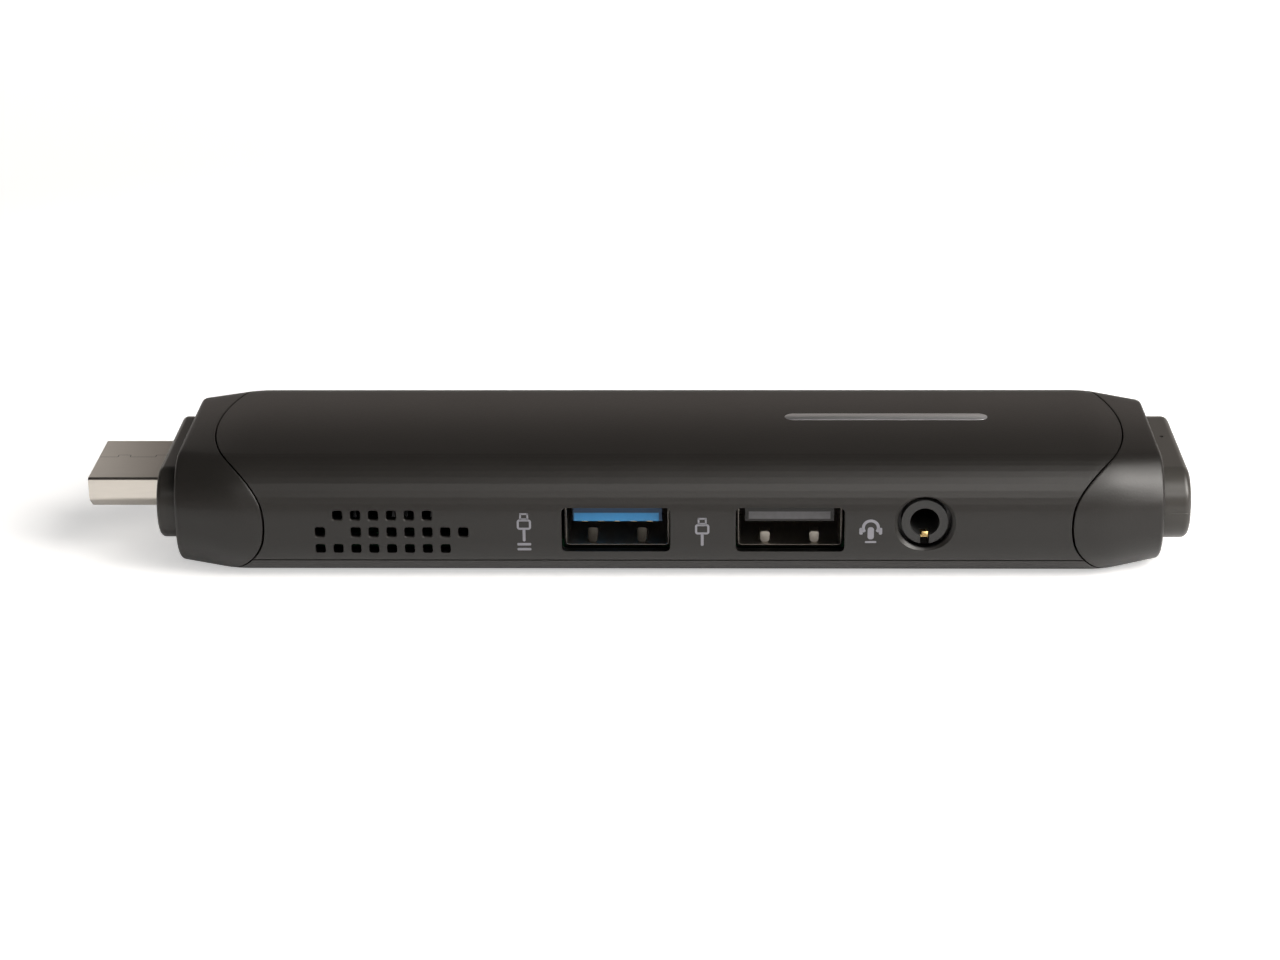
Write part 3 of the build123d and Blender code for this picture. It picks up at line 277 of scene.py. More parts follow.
def seam_x(place, end, gap):
    """Where the curved seam at one end crosses the skin at a place round the section."""
    waist = seam_waist + gap
    axis_x = seam_axes[end]
    x = axis_x + end * waist
    for _ in range(8):
        point = skin(x, place)
        reach = waist + seam_side_radius - sqrt(seam_side_radius**2 - (point.z - mid_z) ** 2)
        x = axis_x + end * sqrt(reach**2 - point.y**2)
    return x


def steps(first, last, count):
    """Evenly spaced values from the first to the last, both included."""
    return [first + (last - first) * i / count for i in range(count + 1)]


def sheet(rows, places, closed, point):
    """A grid of rows and places, moved onto a form; a closed one meets itself round the section."""
    mesh = bmesh.new()
    bmesh.ops.create_grid(mesh, x_segments=rows, y_segments=places, size=0.5)
    for vertex in mesh.verts:
        row = round((vertex.co.x + 0.5) * rows)
        place = round((vertex.co.y + 0.5) * places)
        vertex.co = point(row, place % places if closed else place)
    if closed:
        bmesh.ops.remove_doubles(mesh, verts=mesh.verts, dist=0.001 * MM)
    return mesh


def face_outwards(mesh):
    """Turns a sheet so that its faces look away from the stick's middle line."""
    bmesh.ops.recalc_face_normals(mesh, faces=mesh.faces)
    mesh.normal_update()
    lean = 0
    for face in mesh.faces:
        centre = face.calc_center_median()
        lean += face.normal.dot(centre - Vector((centre.x, 0, mid_z)))
    if lean < 0:
        bmesh.ops.reverse_faces(mesh, faces=mesh.faces)


def smoothed(mesh):
    """Marks a mesh's faces smooth, and its edges sharp where they turn by 35 degrees or more."""
    for edge in mesh.edges:
        edge.smooth = edge.is_manifold and edge.calc_face_angle(0) < radians(35)
    for face in mesh.faces:
        face.smooth = True


def piece(name, mesh, body, slot, finish, *nodes):
    """A finished mesh as an object on a CAD body, standing for the nodes named."""
    smoothed(mesh)
    made = as_object(name, mesh)
    made.data.materials.append(finish)
    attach(made, body)
    if nodes:
        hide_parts(*nodes)
    return made


def rounded(mesh, parts, offset, segments, affect="EDGES", clamp=False):
    """Rounds edges or corners of a mesh."""
    bmesh.ops.bevel(
        mesh,
        geom=parts,
        offset=offset,
        segments=segments,
        profile=0.5,
        affect=affect,
        material=-1,
        clamp_overlap=clamp,
    )


def rotate(mesh, angle, axis):
    """Turns a whole mesh about an axis through the middle."""
    bmesh.ops.rotate(mesh, matrix=Matrix.Rotation(angle, 3, axis), verts=mesh.verts)


def move(mesh, x, y, z):
    """Moves a whole mesh."""
    bmesh.ops.translate(mesh, vec=(x, y, z), verts=mesh.verts)


def outline(width, height, radius, segments):
    """A flat rounded rectangle in the X-Z plane, as one face that looks towards -Y."""
    mesh = bmesh.new()
    bmesh.ops.create_grid(mesh, x_segments=1, y_segments=1, size=0.5)
    bmesh.ops.scale(mesh, vec=(width, height, 1), verts=mesh.verts)
    rounded(mesh, mesh.verts[:], radius, segments, "VERTICES", True)
    bmesh.ops.remove_doubles(mesh, verts=mesh.verts, dist=0.001 * MM)
    rotate(mesh, pi / 2, "X")
    return mesh


def extruded(mesh, faces, keep=False):
    """Extrudes faces, and keeps them too if asked, and gives back the new points."""
    grown = bmesh.ops.extrude_face_region(mesh, geom=faces, use_keep_orig=keep)
    return [part for part in grown["geom"] if isinstance(part, bmesh.types.BMVert)]


def drawn_out(mesh, vector):
    """Draws a flat mesh out into a solid along a vector, with its faces turned outwards."""
    moved = extruded(mesh, mesh.faces[:], keep=True)
    bmesh.ops.translate(mesh, vec=vector, verts=moved)
    bmesh.ops.recalc_face_normals(mesh, faces=mesh.faces)
    return moved


def window_cutter(x, z, width, height, radius, segments, side, lip, length=4.0 * MM):
    """A cutter for a rounded window through one side wall, flared where it leaves the skin."""
    start_y, flare, tiny = lip - body_half_width, 1.0 * MM, 0.0001 * MM
    mesh = outline(width, height, radius, segments)
    drawn_out(mesh, (0, length, 0))
    move(mesh, 0, start_y, 0)
    rim = [face for face in mesh.faces if all(abs(v.co.y - start_y) < tiny for v in face.verts)]
    moved = extruded(mesh, rim)
    bmesh.ops.delete(mesh, geom=rim, context="FACES_ONLY")
    bmesh.ops.translate(mesh, vec=(0, -flare, 0), verts=moved)
    bmesh.ops.scale(
        mesh, vec=((width + 2 * flare) / width, 1, (height + 2 * flare) / height), verts=moved
    )
    if side > 0:
        rotate(mesh, pi, "Z")
    move(mesh, x, 0, z)
    bmesh.ops.recalc_face_normals(mesh, faces=mesh.faces)
    return mesh


def joined_mesh(parts):
    """Several meshes as one."""
    joined = bmesh.new()
    for part in parts:
        data = bpy.data.meshes.new("part")
        part.to_mesh(data)
        part.free()
        joined.from_mesh(data)
        bpy.data.meshes.remove(data)
    return joined


def cut_away(target, cutters):
    """Cuts several closed forms out of a piece and keeps the result as its mesh."""
    tool = as_object("cutter", joined_mesh(cutters))
    cut = target.modifiers.new("cut", "BOOLEAN")
    cut.operation = "DIFFERENCE"
    cut.solver = "EXACT"
    cut.object = tool
    settle(target)
    bpy.data.objects.remove(tool)
    even_shading(target)


def settle(target):
    """Applies a piece's modifiers and marks its sharp edges again."""
    bpy.context.view_layer.update()
    graph = bpy.context.evaluated_depsgraph_get()
    settled = bpy.data.meshes.new_from_object(target.evaluated_get(graph))
    target.modifiers.clear()
    target.data = settled
    mesh = bmesh.new()
    mesh.from_mesh(settled)
    bmesh.ops.remove_doubles(mesh, verts=mesh.verts, dist=0.0005 * MM)
    smoothed(mesh)
    mesh.to_mesh(settled)
    mesh.free()


def walled(target, wall, rim_round):
    """Gives a sheet its wall, inwards, with the rims of the wall rounded."""
    wall_step = target.modifiers.new("wall", "SOLIDIFY")
    wall_step.thickness = wall
    wall_step.offset = -1
    wall_step.use_even_offset = True
    wall_step.bevel_convex = 1
    rim = target.modifiers.new("rim", "BEVEL")
    rim.limit_method = "WEIGHT"
    rim.width = rim_round
    rim.segments = 3
    rim.profile = 0.5
    settle(target)


def edges_rounded(target, width, angle, segments):
    """Rounds a piece's edges that turn by more than an angle."""
    ease = target.modifiers.new("ease", "BEVEL")
    ease.limit_method = "ANGLE"
    ease.angle_limit = radians(angle)
    ease.width = width
    ease.segments = segments


def even_shading(target):
    """Weights a piece's normals by face size, so that cut faces stay flat to the eye."""
    weighted = target.modifiers.new("shading", "WEIGHTED_NORMAL")
    weighted.keep_sharp = True
    weighted.weight = 60


def shader_group(name, scale_kind):
    """A new node group for a finish, with the sockets that it takes and those that it puts out."""
    group = bpy.data.node_groups.new(name, "ShaderNodeTree")
    inputs = {
        "Colour": "Color",
        "Second Colour": "Color",
        "Roughness": "Float",
        "Roughness Spread": "Float",
        "Scale": scale_kind,
        "Depth": "Float",
    }
    outputs = {"Colour": "Color", "Roughness": "Float", "Normal": "Vector"}
    for in_out, sockets in (("INPUT", inputs), ("OUTPUT", outputs)):
        for label, kind in sockets.items():
            group.interface.new_socket(label, in_out=in_out, socket_type="NodeSocket" + kind)
    return group, node(group, "NodeGroupInput").outputs


def put_out(group, given, pattern, unevenness, height):
    """Sends out a group's colour, roughness and normal, from its pattern, unevenness and height."""
    spread, roughness = given["Roughness Spread"], given["Roughness"]
    relief = {"Strength": 1, "Height": height, "Distance": given["Depth"]}
    bump = node(group, "ShaderNodeBump", relief)
    node(
        group,
        "NodeGroupOutput",
        {
            "Colour": mixed(group, pattern, given["Colour"], given["Second Colour"]),
            "Roughness": worked_out(group, "MULTIPLY_ADD", unevenness, spread, roughness),
            "Normal": bump.outputs["Normal"],
        },
    )
    return group


def grain_group():
    """The node group for moulded plastic: fine grain that shifts colour, roughness and height."""
    group, given = shader_group("moulded_grain", "Float")
    fine = noise(group, own_place(group), given["Scale"], 3)
    broad = noise(group, own_place(group), 90, 4)
    grain = worked_out(group, "MULTIPLY_ADD", fine, 0.5, worked_out(group, "MULTIPLY", broad, 0.5))
    return put_out(group, given, grain, worked_out(group, "SUBTRACT", grain, 0.5), fine)


def finished(name, group, colour, second_colour, *settings):
    """A material whose colour, roughness and normal come from a node group with those settings."""
    made, tree, shader = material(name)
    settings = enumerate(((*colour, 1), (*second_colour, 1), *settings))
    effect = node(tree, "ShaderNodeGroup", settings, node_tree=group).outputs
    fill(
        shader,
        {
            "Base Color": effect["Colour"],
            "Roughness": effect["Roughness"],
            "Normal": effect["Normal"],
        },
    )
    return made


moulded_grain = grain_group()


def plastic(name, colour, worn, roughness, spread=0.12, scale=2500, depth=0.00001):
    """A moulded plastic with its grain."""
    return finished(name, moulded_grain, colour, worn, roughness, spread, scale, depth)


casing_plastic = plastic(
    "casing_plastic", (0.0120, 0.0108, 0.0098), (0.017, 0.0155, 0.0142), 0.38, 0.10, 3500, 0.000012
)


def place_on_part(tree):
    """The sockets for X, Y and Z on the part."""
    return split_up(tree, own_place(tree))


def facing(tree):
    """The sockets for X, Y and Z of the way that the surface faces."""
    return split_up(tree, node(tree, "ShaderNodeNewGeometry").outputs["Normal"])


def recoloured(finish, mask, colour):
    """Turns a finish towards another colour where a mask says so."""
    tree = finish.node_tree
    base = tree.nodes["Principled BSDF"].inputs["Base Color"]
    tree.links.new(mixed(tree, mask, base.links[0].from_socket, colour), base)


# Painted shade: the port windows' walls inside the skin are painted near black and mirror less.
tree = casing_plastic.node_tree
along, across, height = place_on_part(tree)
inside = ranged(tree, worked_out(tree, "ABSOLUTE", across), 16.65 * MM, 16.5 * MM)
in_length = worked_out(tree, "COMPARE", along, 4.5 * MM, 49.0 * MM)
in_height = worked_out(tree, "COMPARE", height, 7.07 * MM, 3.3 * MM)
in_window = worked_out(tree, "MULTIPLY", in_length, in_height)
painted_shade_walls = worked_out(tree, "MULTIPLY", inside, in_window)
recoloured(casing_plastic, painted_shade_walls, (0.002, 0.002, 0.002))
shine = worked_out(tree, "MULTIPLY_ADD", painted_shade_walls, -0.42, 0.5)
fill(tree.nodes["Principled BSDF"], {"Specular IOR Level": shine})
# The roof is very slightly crowned, and the sides turn softly into the shoulders: the shading leans
# outwards towards both sides of the roof, and upwards near the top of the sides.
faces = facing(tree)
upwards = worked_out(tree, "POWER", worked_out(tree, "MAXIMUM", faces["Z"], 0), 2)
sideways = worked_out(tree, "POWER", worked_out(tree, "ABSOLUTE", faces["Y"]), 2)
crown = ranged(tree, across, -11.5 * MM, 11.5 * MM, -0.1, 0.1)
rising = ranged(tree, height, 7.2 * MM, 10.0 * MM, -0.12, 0.16, "SMOOTHSTEP")
falling = ranged(tree, height, 10.0 * MM, 12.5 * MM, 0, -0.16, "SMOOTHSTEP")
turned = worked_out(tree, "MULTIPLY", sideways, worked_out(tree, "ADD", rising, falling))
crowned = worked_out(tree, "MULTIPLY", upwards, crown)
lean = node(tree, "ShaderNodeCombineXYZ", {"Y": crowned, "Z": turned}).outputs[0]
surface = tree.nodes["Principled BSDF"].inputs["Normal"]
grained = surface.links[0].from_socket
leaning = node(tree, "ShaderNodeVectorMath", {0: grained, 1: lean}, operation="ADD").outputs[0]
even = node(tree, "ShaderNodeVectorMath", {0: leaning}, operation="NORMALIZE").outputs[0]
tree.links.new(even, surface)

round_steps = steps(0, 1, 10)
over_the_top = (
    [("side", -1, t) for t in steps(0, 1, 3)[:-1]]
    + [("shoulder", -1, t) for t in round_steps]
    + [("roof", 0, t) for t in steps(-1, 1, 12)[1:-1]]
    + [("shoulder", 1, 1 - t) for t in round_steps]
    + [("side", 1, 1 - t) for t in steps(0, 1, 3)[1:]]
)
casing_places = (
    [("foot", -1, t) for t in steps(1, 0, 7)[:-1]]
    + over_the_top
    + [("foot", 1, t) for t in steps(0, 1, 7)[1:]]
)
near_offsets = [t * MM for t in (0, 0.35, 0.8, 1.4, 2.1, 3.0, 4.2, 5.6, 7.2, 9.0)]
middle_steps = steps(0, 1, 46)[1:-1]


def between_seams(row, place):
    """A point of the casing between its two seams, in rows that follow each seam near it."""
    first = seam_x(place, -1, 0)
    last = seam_x(place, 1, 0)
    near = len(near_offsets)
    rows = near * 2 + len(middle_steps)
    if row < near:
        x = first + near_offsets[row]
    elif row >= rows - near:
        x = last - near_offsets[rows - 1 - row]
    else:
        start, end = first + near_offsets[-1], last - near_offsets[-1]
        x = start + (end - start) * middle_steps[row - near]
    return skin(x, place)


casing_rows = len(near_offsets) * 2 + len(middle_steps) - 1
mesh = sheet(
    casing_rows,
    len(casing_places) - 1,
    False,
    lambda row, place: between_seams(row, casing_places[place]),
)
for vertex in mesh.verts:
    if vertex.co.z < parting_z + 0.02 * MM:
        vertex.co.z = parting_z + 0.12 * MM
face_outwards(mesh)
top_casing = piece("top_casing_skin", mesh, "body", "casing", casing_plastic, "top_casing")
walled(top_casing, wall=1.2 * MM, rim_round=0.12 * MM)

usb3_x, usb2_x, usb_z = -1.9515 * MM, 19.3474 * MM, 6.8 * MM
usb3_window_x, usb_window_z = usb3_x - 0.12 * MM, usb_z + 0.1 * MM
jack_x, jack_z = 35.8675 * MM, 7.8 * MM
inlet_x, inlet_z = 16.3474 * MM, 5.4 * MM
button_x, light_x = 44.0 * MM, 50.0 * MM
fan_x = -29.7 * MM
vent_pitch, vent_size, vent_corner, lowest_vent_z = 2.21 * MM, 1.25 * MM, 0.28 * MM, 4.4 * MM
vent_rows = (range(0, 8), (0, 2, 3, 4, 5, 6, 7, 8), range(1, 7))

# A window's width, height, corner radius, steps round a corner, side (-1 for the ports) and lip.
usb_window = (13.35 * MM, 5.8 * MM, 0.6 * MM, 5, -1, 0.12 * MM)
jack_window = (6.6 * MM, 6.6 * MM, 3.299 * MM, 16, -1, 0.5 * MM)
inlet_window = (8.2 * MM, 3.6 * MM, 0.9 * MM, 5, 1, 0.2 * MM)
button_window = (8.2 * MM, 3.0 * MM, 1.499 * MM, 10, 1, 0.12 * MM)
light_window = (1.6 * MM, 1.6 * MM, 0.799 * MM, 6, 1, 0.08 * MM)
cutters = [window_cutter(x, usb_window_z, *usb_window) for x in (usb3_window_x, usb2_x)]
cutters.append(window_cutter(jack_x, jack_z, *jack_window))
for side in (-1, 1):
    vent = (vent_size, vent_size, vent_corner, 3, side, 0.1 * MM)
    for row, columns in enumerate(vent_rows):
        vent_z = lowest_vent_z + row * vent_pitch
        for column in columns:
            cutters.append(window_cutter(fan_x + (column - 4) * vent_pitch, vent_z, *vent))
cutters.append(window_cutter(inlet_x, inlet_z, *inlet_window))
cutters.append(window_cutter(button_x, mid_z, *button_window))
cutters.append(window_cutter(light_x, mid_z, *light_window))
cut_away(top_casing, cutters)

# Bottom cover
# A shallow tray in the same plastic, held by four screws in recesses near its corners. A fine
# parting line runs between it and the casing, low on both sides.
cover_places = (
    [("foot", 1, t) for t in steps(1, 2, 8)]
    + [("floor", 0, t) for t in steps(1, -1, 10)[1:-1]]
    + [("foot", -1, t) for t in steps(2, 1, 8)]
)
mesh = sheet(
    casing_rows,
    len(cover_places) - 1,
    False,
    lambda row, place: between_seams(row, cover_places[place]),
)
face_outwards(mesh)
bottom_cover = piece("bottom_cover_skin", mesh, "body", "casing", casing_plastic, "bottom_cover")
walled(bottom_cover, wall=1.2 * MM, rim_round=0.1 * MM)
screw_places = [(x * MM, y * MM) for x in (-47.5, 56.1) for y in (-9.8, 9.8)]


def rod(radius, low_z, high_z, x, y, segments=32):
    """A closed upright cylinder between two heights."""
    mesh = bmesh.new()
    bmesh.ops.create_circle(mesh, cap_ends=True, segments=segments, radius=radius)
    drawn_out(mesh, (0, 0, high_z - low_z))
    move(mesh, x, y, low_z)
    return mesh


recesses = [rod(1.6 * MM, -1.0 * MM, 0.8 * MM, x, y) for x, y in screw_places]
cut_away(bottom_cover, recesses)

# End shrouds
# Two tapered caps in the casing's plastic. Each wraps round the end, has a window for its glossy
# block, stops at the curved seam, and grips the casing from inside with a sleeve.
ring_places = (
    over_the_top
    + [("foot", 1, t) for t in steps(0, 2, 14)[1:]]
    + [("floor", 0, t) for t in steps(1, -1, 10)[1:-1]]
    + [("foot", -1, t) for t in steps(2, 0, 14)[:-1]]
)
block_z = 7.7 * MM
rim_round = 0.5 * MM
rim_steps = steps(0, pi / 2, 5)
cap_steps = steps(0, 1, 7)


def window_edge(x, place):
    """A point of a shroud's window, at the same place round the section as the skin's."""
    kind, side, along = place
    half_width, half_height, radius = 13.3 * MM, 4.7 * MM, 4.5 * MM
    flat_y, flat_z = half_width - radius, half_height - radius
    if kind == "roof":
        y, z = flat_y * along, half_height
    elif kind == "floor":
        y, z = flat_y * along, -half_height
    elif kind == "side":
        y, z = side * half_width, flat_z * (2 * along - 1)
    else:
        turn = pi / 2 * (along if kind == "shoulder" else along / 2)
        y = side * (flat_y + radius * cos(turn))
        z = (flat_z + radius * sin(turn)) * (1 if kind == "shoulder" else -1)
    return Vector((x, y, block_z + z))


def shroud_rows(end, place):
    """The points of a shroud at a place round the section, from its window to its sleeve's end."""
    face_x = plug_face_x if end < 0 else tail_face_x
    inward = -end
    points = [window_edge(face_x + inward * 1.0 * MM, place), window_edge(face_x, place)]
    rim = skin(face_x, place, rim_round, rim_round)
    points += [points[1].lerp(rim, t) for t in (0.1, 0.9)]
    for turn in rim_steps:
        inset = rim_round * (1 - sin(turn))
        points.append(skin(face_x + inward * rim_round * (1 - cos(turn)), place, inset, inset))
    start = face_x + inward * rim_round
    seam = seam_x(place, end, 0.2 * MM)
    last = seam - inward * 0.4 * MM
    points += [skin(start + (last - start) * t, place) for t in cap_steps[1:]]
    points.append(skin(seam, place))
    points.append(skin(seam, place, 1.1 * MM, 0.9 * MM))
    points.append(skin(seam, place, 2.1 * MM, 1.4 * MM))
    points.append(skin(face_x + inward * 13.0 * MM, place, 2.1 * MM, 1.4 * MM))
    return points


for end, name in ((-1, "plug_end_shroud"), (1, "tail_end_shroud")):
    columns = [shroud_rows(end, place) for place in ring_places]
    mesh = sheet(
        len(columns[0]) - 1, len(ring_places), True, lambda row, place: columns[place][row]
    )
    face_outwards(mesh)
    shroud = piece(name + "_skin", mesh, "body", "casing", casing_plastic, name)
    edges_rounded(shroud, 0.13 * MM, 50, 3)
    wall = shroud.modifiers.new("wall", "SOLIDIFY")
    wall.thickness = 0.7 * MM
    wall.offset = -1
    settle(shroud)
    even_shading(shroud)

# Plug collar and tail block
# Two glossier black blocks, pushed through the windows of the shrouds. The plug stands out of the
# first. The second is plain, with a pinhole in its upper side and a faint mould line at mid-height.
gloss_plastic = plastic(
    "gloss_plastic", (0.024, 0.022, 0.020), (0.032, 0.030, 0.027), 0.3, 0.06, 1800, 0.000004
)
# Painted light: the tail block is painted paler than the collar, as if lit more brightly.
tree = gloss_plastic.node_tree
tail_painted_light = ranged(tree, place_on_part(tree)[0], 0, 10 * MM)
recoloured(gloss_plastic, tail_painted_light, (0.048, 0.045, 0.041))


def end_block(face_x, outward, reach, rim):
    """A rounded block that stands out of an end face, its outer rim rounded."""
    width, height, corner = 26.4 * MM, 9.2 * MM, 4.4 * MM
    mesh = outline(width, height, corner, 14)
    rotate(mesh, -pi / 2 * outward, "Z")
    if outward < 0:
        bmesh.ops.reverse_faces(mesh, faces=mesh.faces)
    seat_depth = 1.6 * MM
    move(mesh, face_x - outward * seat_depth, 0, block_z)
    drawn_out(mesh, (outward * (seat_depth + reach), 0, 0))
    outer_x = face_x + outward * reach
    edges = [e for e in mesh.edges if all(abs(v.co.x - outer_x) < 0.001 * MM for v in e.verts)]
    rounded(mesh, edges, rim, 6, clamp=True)
    return mesh


def scored(mesh, z):
    """Cuts a mesh's faces along a level."""
    bmesh.ops.bisect_plane(
        mesh,
        geom=mesh.verts[:] + mesh.edges[:] + mesh.faces[:],
        plane_co=(0, 0, z),
        plane_no=(0, 0, 1),
    )


def plug_outline():
    """The plug's outline across the stick, flat on top and drawn in below, as one face."""
    half, top, side_end, floor_half = 6.95 * MM, 2.225 * MM, -0.675 * MM, 5.0 * MM
    mesh = bmesh.new()
    corners = (
        (-half, top),
        (half, top),
        (half, side_end),
        (floor_half, -top),
        (-floor_half, -top),
        (-half, side_end),
    )
    mesh.faces.new([mesh.verts.new((0, y, block_z + z)) for y, z in corners])
    rounded(mesh, mesh.verts[:], 0.35 * MM, 4, "VERTICES")
    return mesh


mesh = end_block(plug_face_x, -1, 2.55 * MM, 0.6 * MM)
plug_collar = piece("plug_collar_block", mesh, "body", "gloss_black", gloss_plastic, "plug_collar")
plug_hole = plug_outline()
hole_room, hole_x, hole_depth = (1, 1.008, 1.02), tip_x + 8.0 * MM, 8.0 * MM
bmesh.ops.scale(
    plug_hole, vec=hole_room, space=Matrix.Translation((0, 0, -block_z)), verts=plug_hole.verts
)
drawn_out(plug_hole, (hole_depth, 0, 0))
move(plug_hole, hole_x, 0, 0)
cut_away(plug_collar, [plug_hole])

tail_reach = 3.55 * MM
mesh = end_block(tail_face_x, 1, tail_reach, 0.9 * MM)
line_half = 0.05 * MM
for offset in (-line_half, 0, line_half):
    scored(mesh, block_z + offset)
line_depth = 0.05 * MM
for vertex in mesh.verts:
    on_line = abs(vertex.co.z - block_z) < 0.001 * MM and vertex.co.x > tail_face_x - 1.5 * MM
    if on_line and abs(vertex.co.y) > 9.0 * MM:
        vertex.co.y -= line_depth if vertex.co.y > 0 else -line_depth
tail_block = piece("tail_block_cap", mesh, "body", "gloss_black", gloss_plastic, "tail_block")
pinhole_x, pinhole_y = tail_face_x + 1.6 * MM, 1.9 * MM
pinhole = rod(0.3 * MM, block_z + 3.8 * MM, block_z + 6.0 * MM, pinhole_x, pinhole_y, 20)
cut_away(tail_block, [pinhole])

# Badge strip
# A plain bar of brushed aluminium, glued flush into a shallow pocket in the roof, in the place
# where the maker's lettering would be.


def metal_group():
    """The node group for sheet metal: streaks that run along the way it was drawn or brushed."""
    group, given = shader_group("drawn_metal", "Vector")
    stretched = {0: own_place(group), 1: given["Scale"]}
    stretch = node(group, "ShaderNodeVectorMath", stretched, operation="MULTIPLY")
    streaks = noise(group, stretch.outputs[0], 1, 4)
    smudges = noise(group, own_place(group), 160, 3)
    unevenness = worked_out(group, "SUBTRACT", worked_out(group, "ADD", streaks, smudges), 1)
    return put_out(group, given, streaks, unevenness, streaks)


drawn_metal = metal_group()


def sheet_metal(name, colour, streak, roughness, spread, scale, depth=0.000002):
    """A metal with streaks at a scale for each direction."""
    made = finished(name, drawn_metal, colour, streak, roughness, spread, scale, depth)
    fill(made.node_tree.nodes["Principled BSDF"], {"Metallic": 1})
    return made


brushed_aluminium = sheet_metal(
    "brushed_aluminium", (0.72, 0.72, 0.74), (0.84, 0.84, 0.86), 0.45, 0.1, (300, 9000, 300)
)
badge_x, badge_y, badge_length, badge_width = 31.8975 * MM, 1.9 * MM, 25.8 * MM, 2.4 * MM
pocket_z, roof_z, pocket_room = 14.7 * MM, 15.0 * MM, 0.1 * MM


def bar(length, width, low_z, high_z):
    """A bar with round ends that lies along the stick, at the badge's place."""
    mesh = outline(length, width, width / 2 - 0.001 * MM, 10)
    rotate(mesh, -pi / 2, "X")
    drawn_out(mesh, (0, 0, high_z - low_z))
    move(mesh, badge_x, badge_y, low_z)
    return mesh


pocket = bar(badge_length + pocket_room, badge_width + pocket_room, pocket_z, roof_z + 1.0 * MM)
cut_away(top_casing, [pocket])
mesh = bar(badge_length, badge_width, pocket_z, roof_z)
top_edges = [e for e in mesh.edges if all(v.co.z > roof_z - 0.05 * MM for v in e.verts)]
rounded(mesh, top_edges, 0.06 * MM, 2)
piece("badge_bar", mesh, "body", "badge", brushed_aluminium, "badge_strip")

# Port marks
# Plain pictograms printed in pale grey beside the ports: a cable plug by each USB socket, with two
# bars at the faster one, and a headset with its microphone by the jack.
print_grey = plastic("print_grey", (0.22, 0.22, 0.25), (0.28, 0.28, 0.31), 0.5, 0.1, 3000, 0.000004)


def surface_y(z):
    """How far the casing's side stands out at one height."""
    half_width, half_height, radius = section(0)
    low_z = mid_z - half_height + radius
    high_z = skin(0, ("side", -1, 1)).z
    beyond = max(low_z - z, z - high_z, 0)
    return half_width - radius + sqrt(radius**2 - beyond**2)


def hollowed(mesh, rim):
    """Leaves only a rim of a flat shape."""
    bmesh.ops.inset_region(mesh, faces=mesh.faces[:], thickness=rim, use_boundary=True)
    middle = max(mesh.faces, key=lambda face: len(face.verts))
    bmesh.ops.delete(mesh, geom=[middle], context="FACES_ONLY")


def stroke(x, z, width, height, radius, hollow=0):
    """One flat shape of a pictogram: a rounded bar, or its outline where it is hollow."""
    mesh = outline(width, height, min(radius, width / 2.01, height / 2.01), 6)
    if hollow:
        hollowed(mesh, hollow)
    move(mesh, x, 0, z)
    return mesh


def arch(x, z, radius, thickness, beyond):
    """A ring that is open below, as a flat shape of a pictogram; it runs on beyond a half turn."""
    mesh = bmesh.new()
    inner = mesh.verts.new((x + radius - thickness, 0, z))
    outer = mesh.verts.new((x + radius, 0, z))
    bmesh.ops.spin(
        mesh,
        geom=[mesh.edges.new((inner, outer))],
        cent=(x, 0, z),
        axis=(0, -1, 0),
        angle=pi + 2 * beyond,
        steps=24,
        use_merge=False,
    )
    bmesh.ops.rotate(mesh, cent=(x, 0, z), matrix=Matrix.Rotation(beyond, 3, "Y"), verts=mesh.verts)
    return mesh


def printed(strokes):
    """Lays flat shapes on the casing's side as a thin coat of paint, bent to its curve."""
    mesh = joined_mesh(strokes)
    for height in steps(3.6, 5.6, 10) + steps(9.0, 9.8, 4):
        scored(mesh, height * MM)
    under = mesh.verts[:]
    over = drawn_out(mesh, (0, -0.001 * MM, 0))
    for vertex in under:
        vertex.co.y = 0.03 * MM - surface_y(vertex.co.z)
    for vertex in over:
        vertex.co.y = -0.02 * MM - surface_y(vertex.co.z)
    bmesh.ops.recalc_face_normals(mesh, faces=mesh.faces)
    return mesh


def plug_mark(x, z, size):
    """A cable plug seen from the side, mouth up."""
    return [
        stroke(x, z + 0.62 * size, 0.5 * size, 0.4 * size, 0.03 * size, 0.1 * size),
        stroke(x, z + 0.14 * size, 0.8 * size, 0.62 * size, 0.16 * size, 0.12 * size),
        stroke(x, z - 0.5 * size, 0.16 * size, 0.74 * size, 0.08 * size),
    ]


marks = plug_mark(-13.35 * MM, 7.35 * MM, 2.2 * MM)
marks += [stroke(-13.35 * MM, (4.35 + 0.7 * i) * MM, 1.7 * MM, 0.34 * MM, 0.1 * MM) for i in (0, 1)]
marks += plug_mark(8.56 * MM, 6.75 * MM, 2.2 * MM)
headset_x = 29.23 * MM
marks.append(arch(headset_x, 7.27 * MM, 1.1 * MM, 0.36 * MM, radians(35)))
for ear_x in (headset_x - 1.19 * MM, headset_x + 1.19 * MM):
    marks.append(stroke(ear_x, 6.82 * MM, 0.42 * MM, 0.9 * MM, 0.18 * MM))
marks.append(stroke(headset_x, 6.55 * MM, 0.78 * MM, 1.6 * MM, 0.34 * MM))
marks.append(stroke(headset_x, 5.39 * MM, 1.4 * MM, 0.26 * MM, 0.12 * MM))
piece("port_marks", printed(marks), "body", "grey_insulator", print_grey)

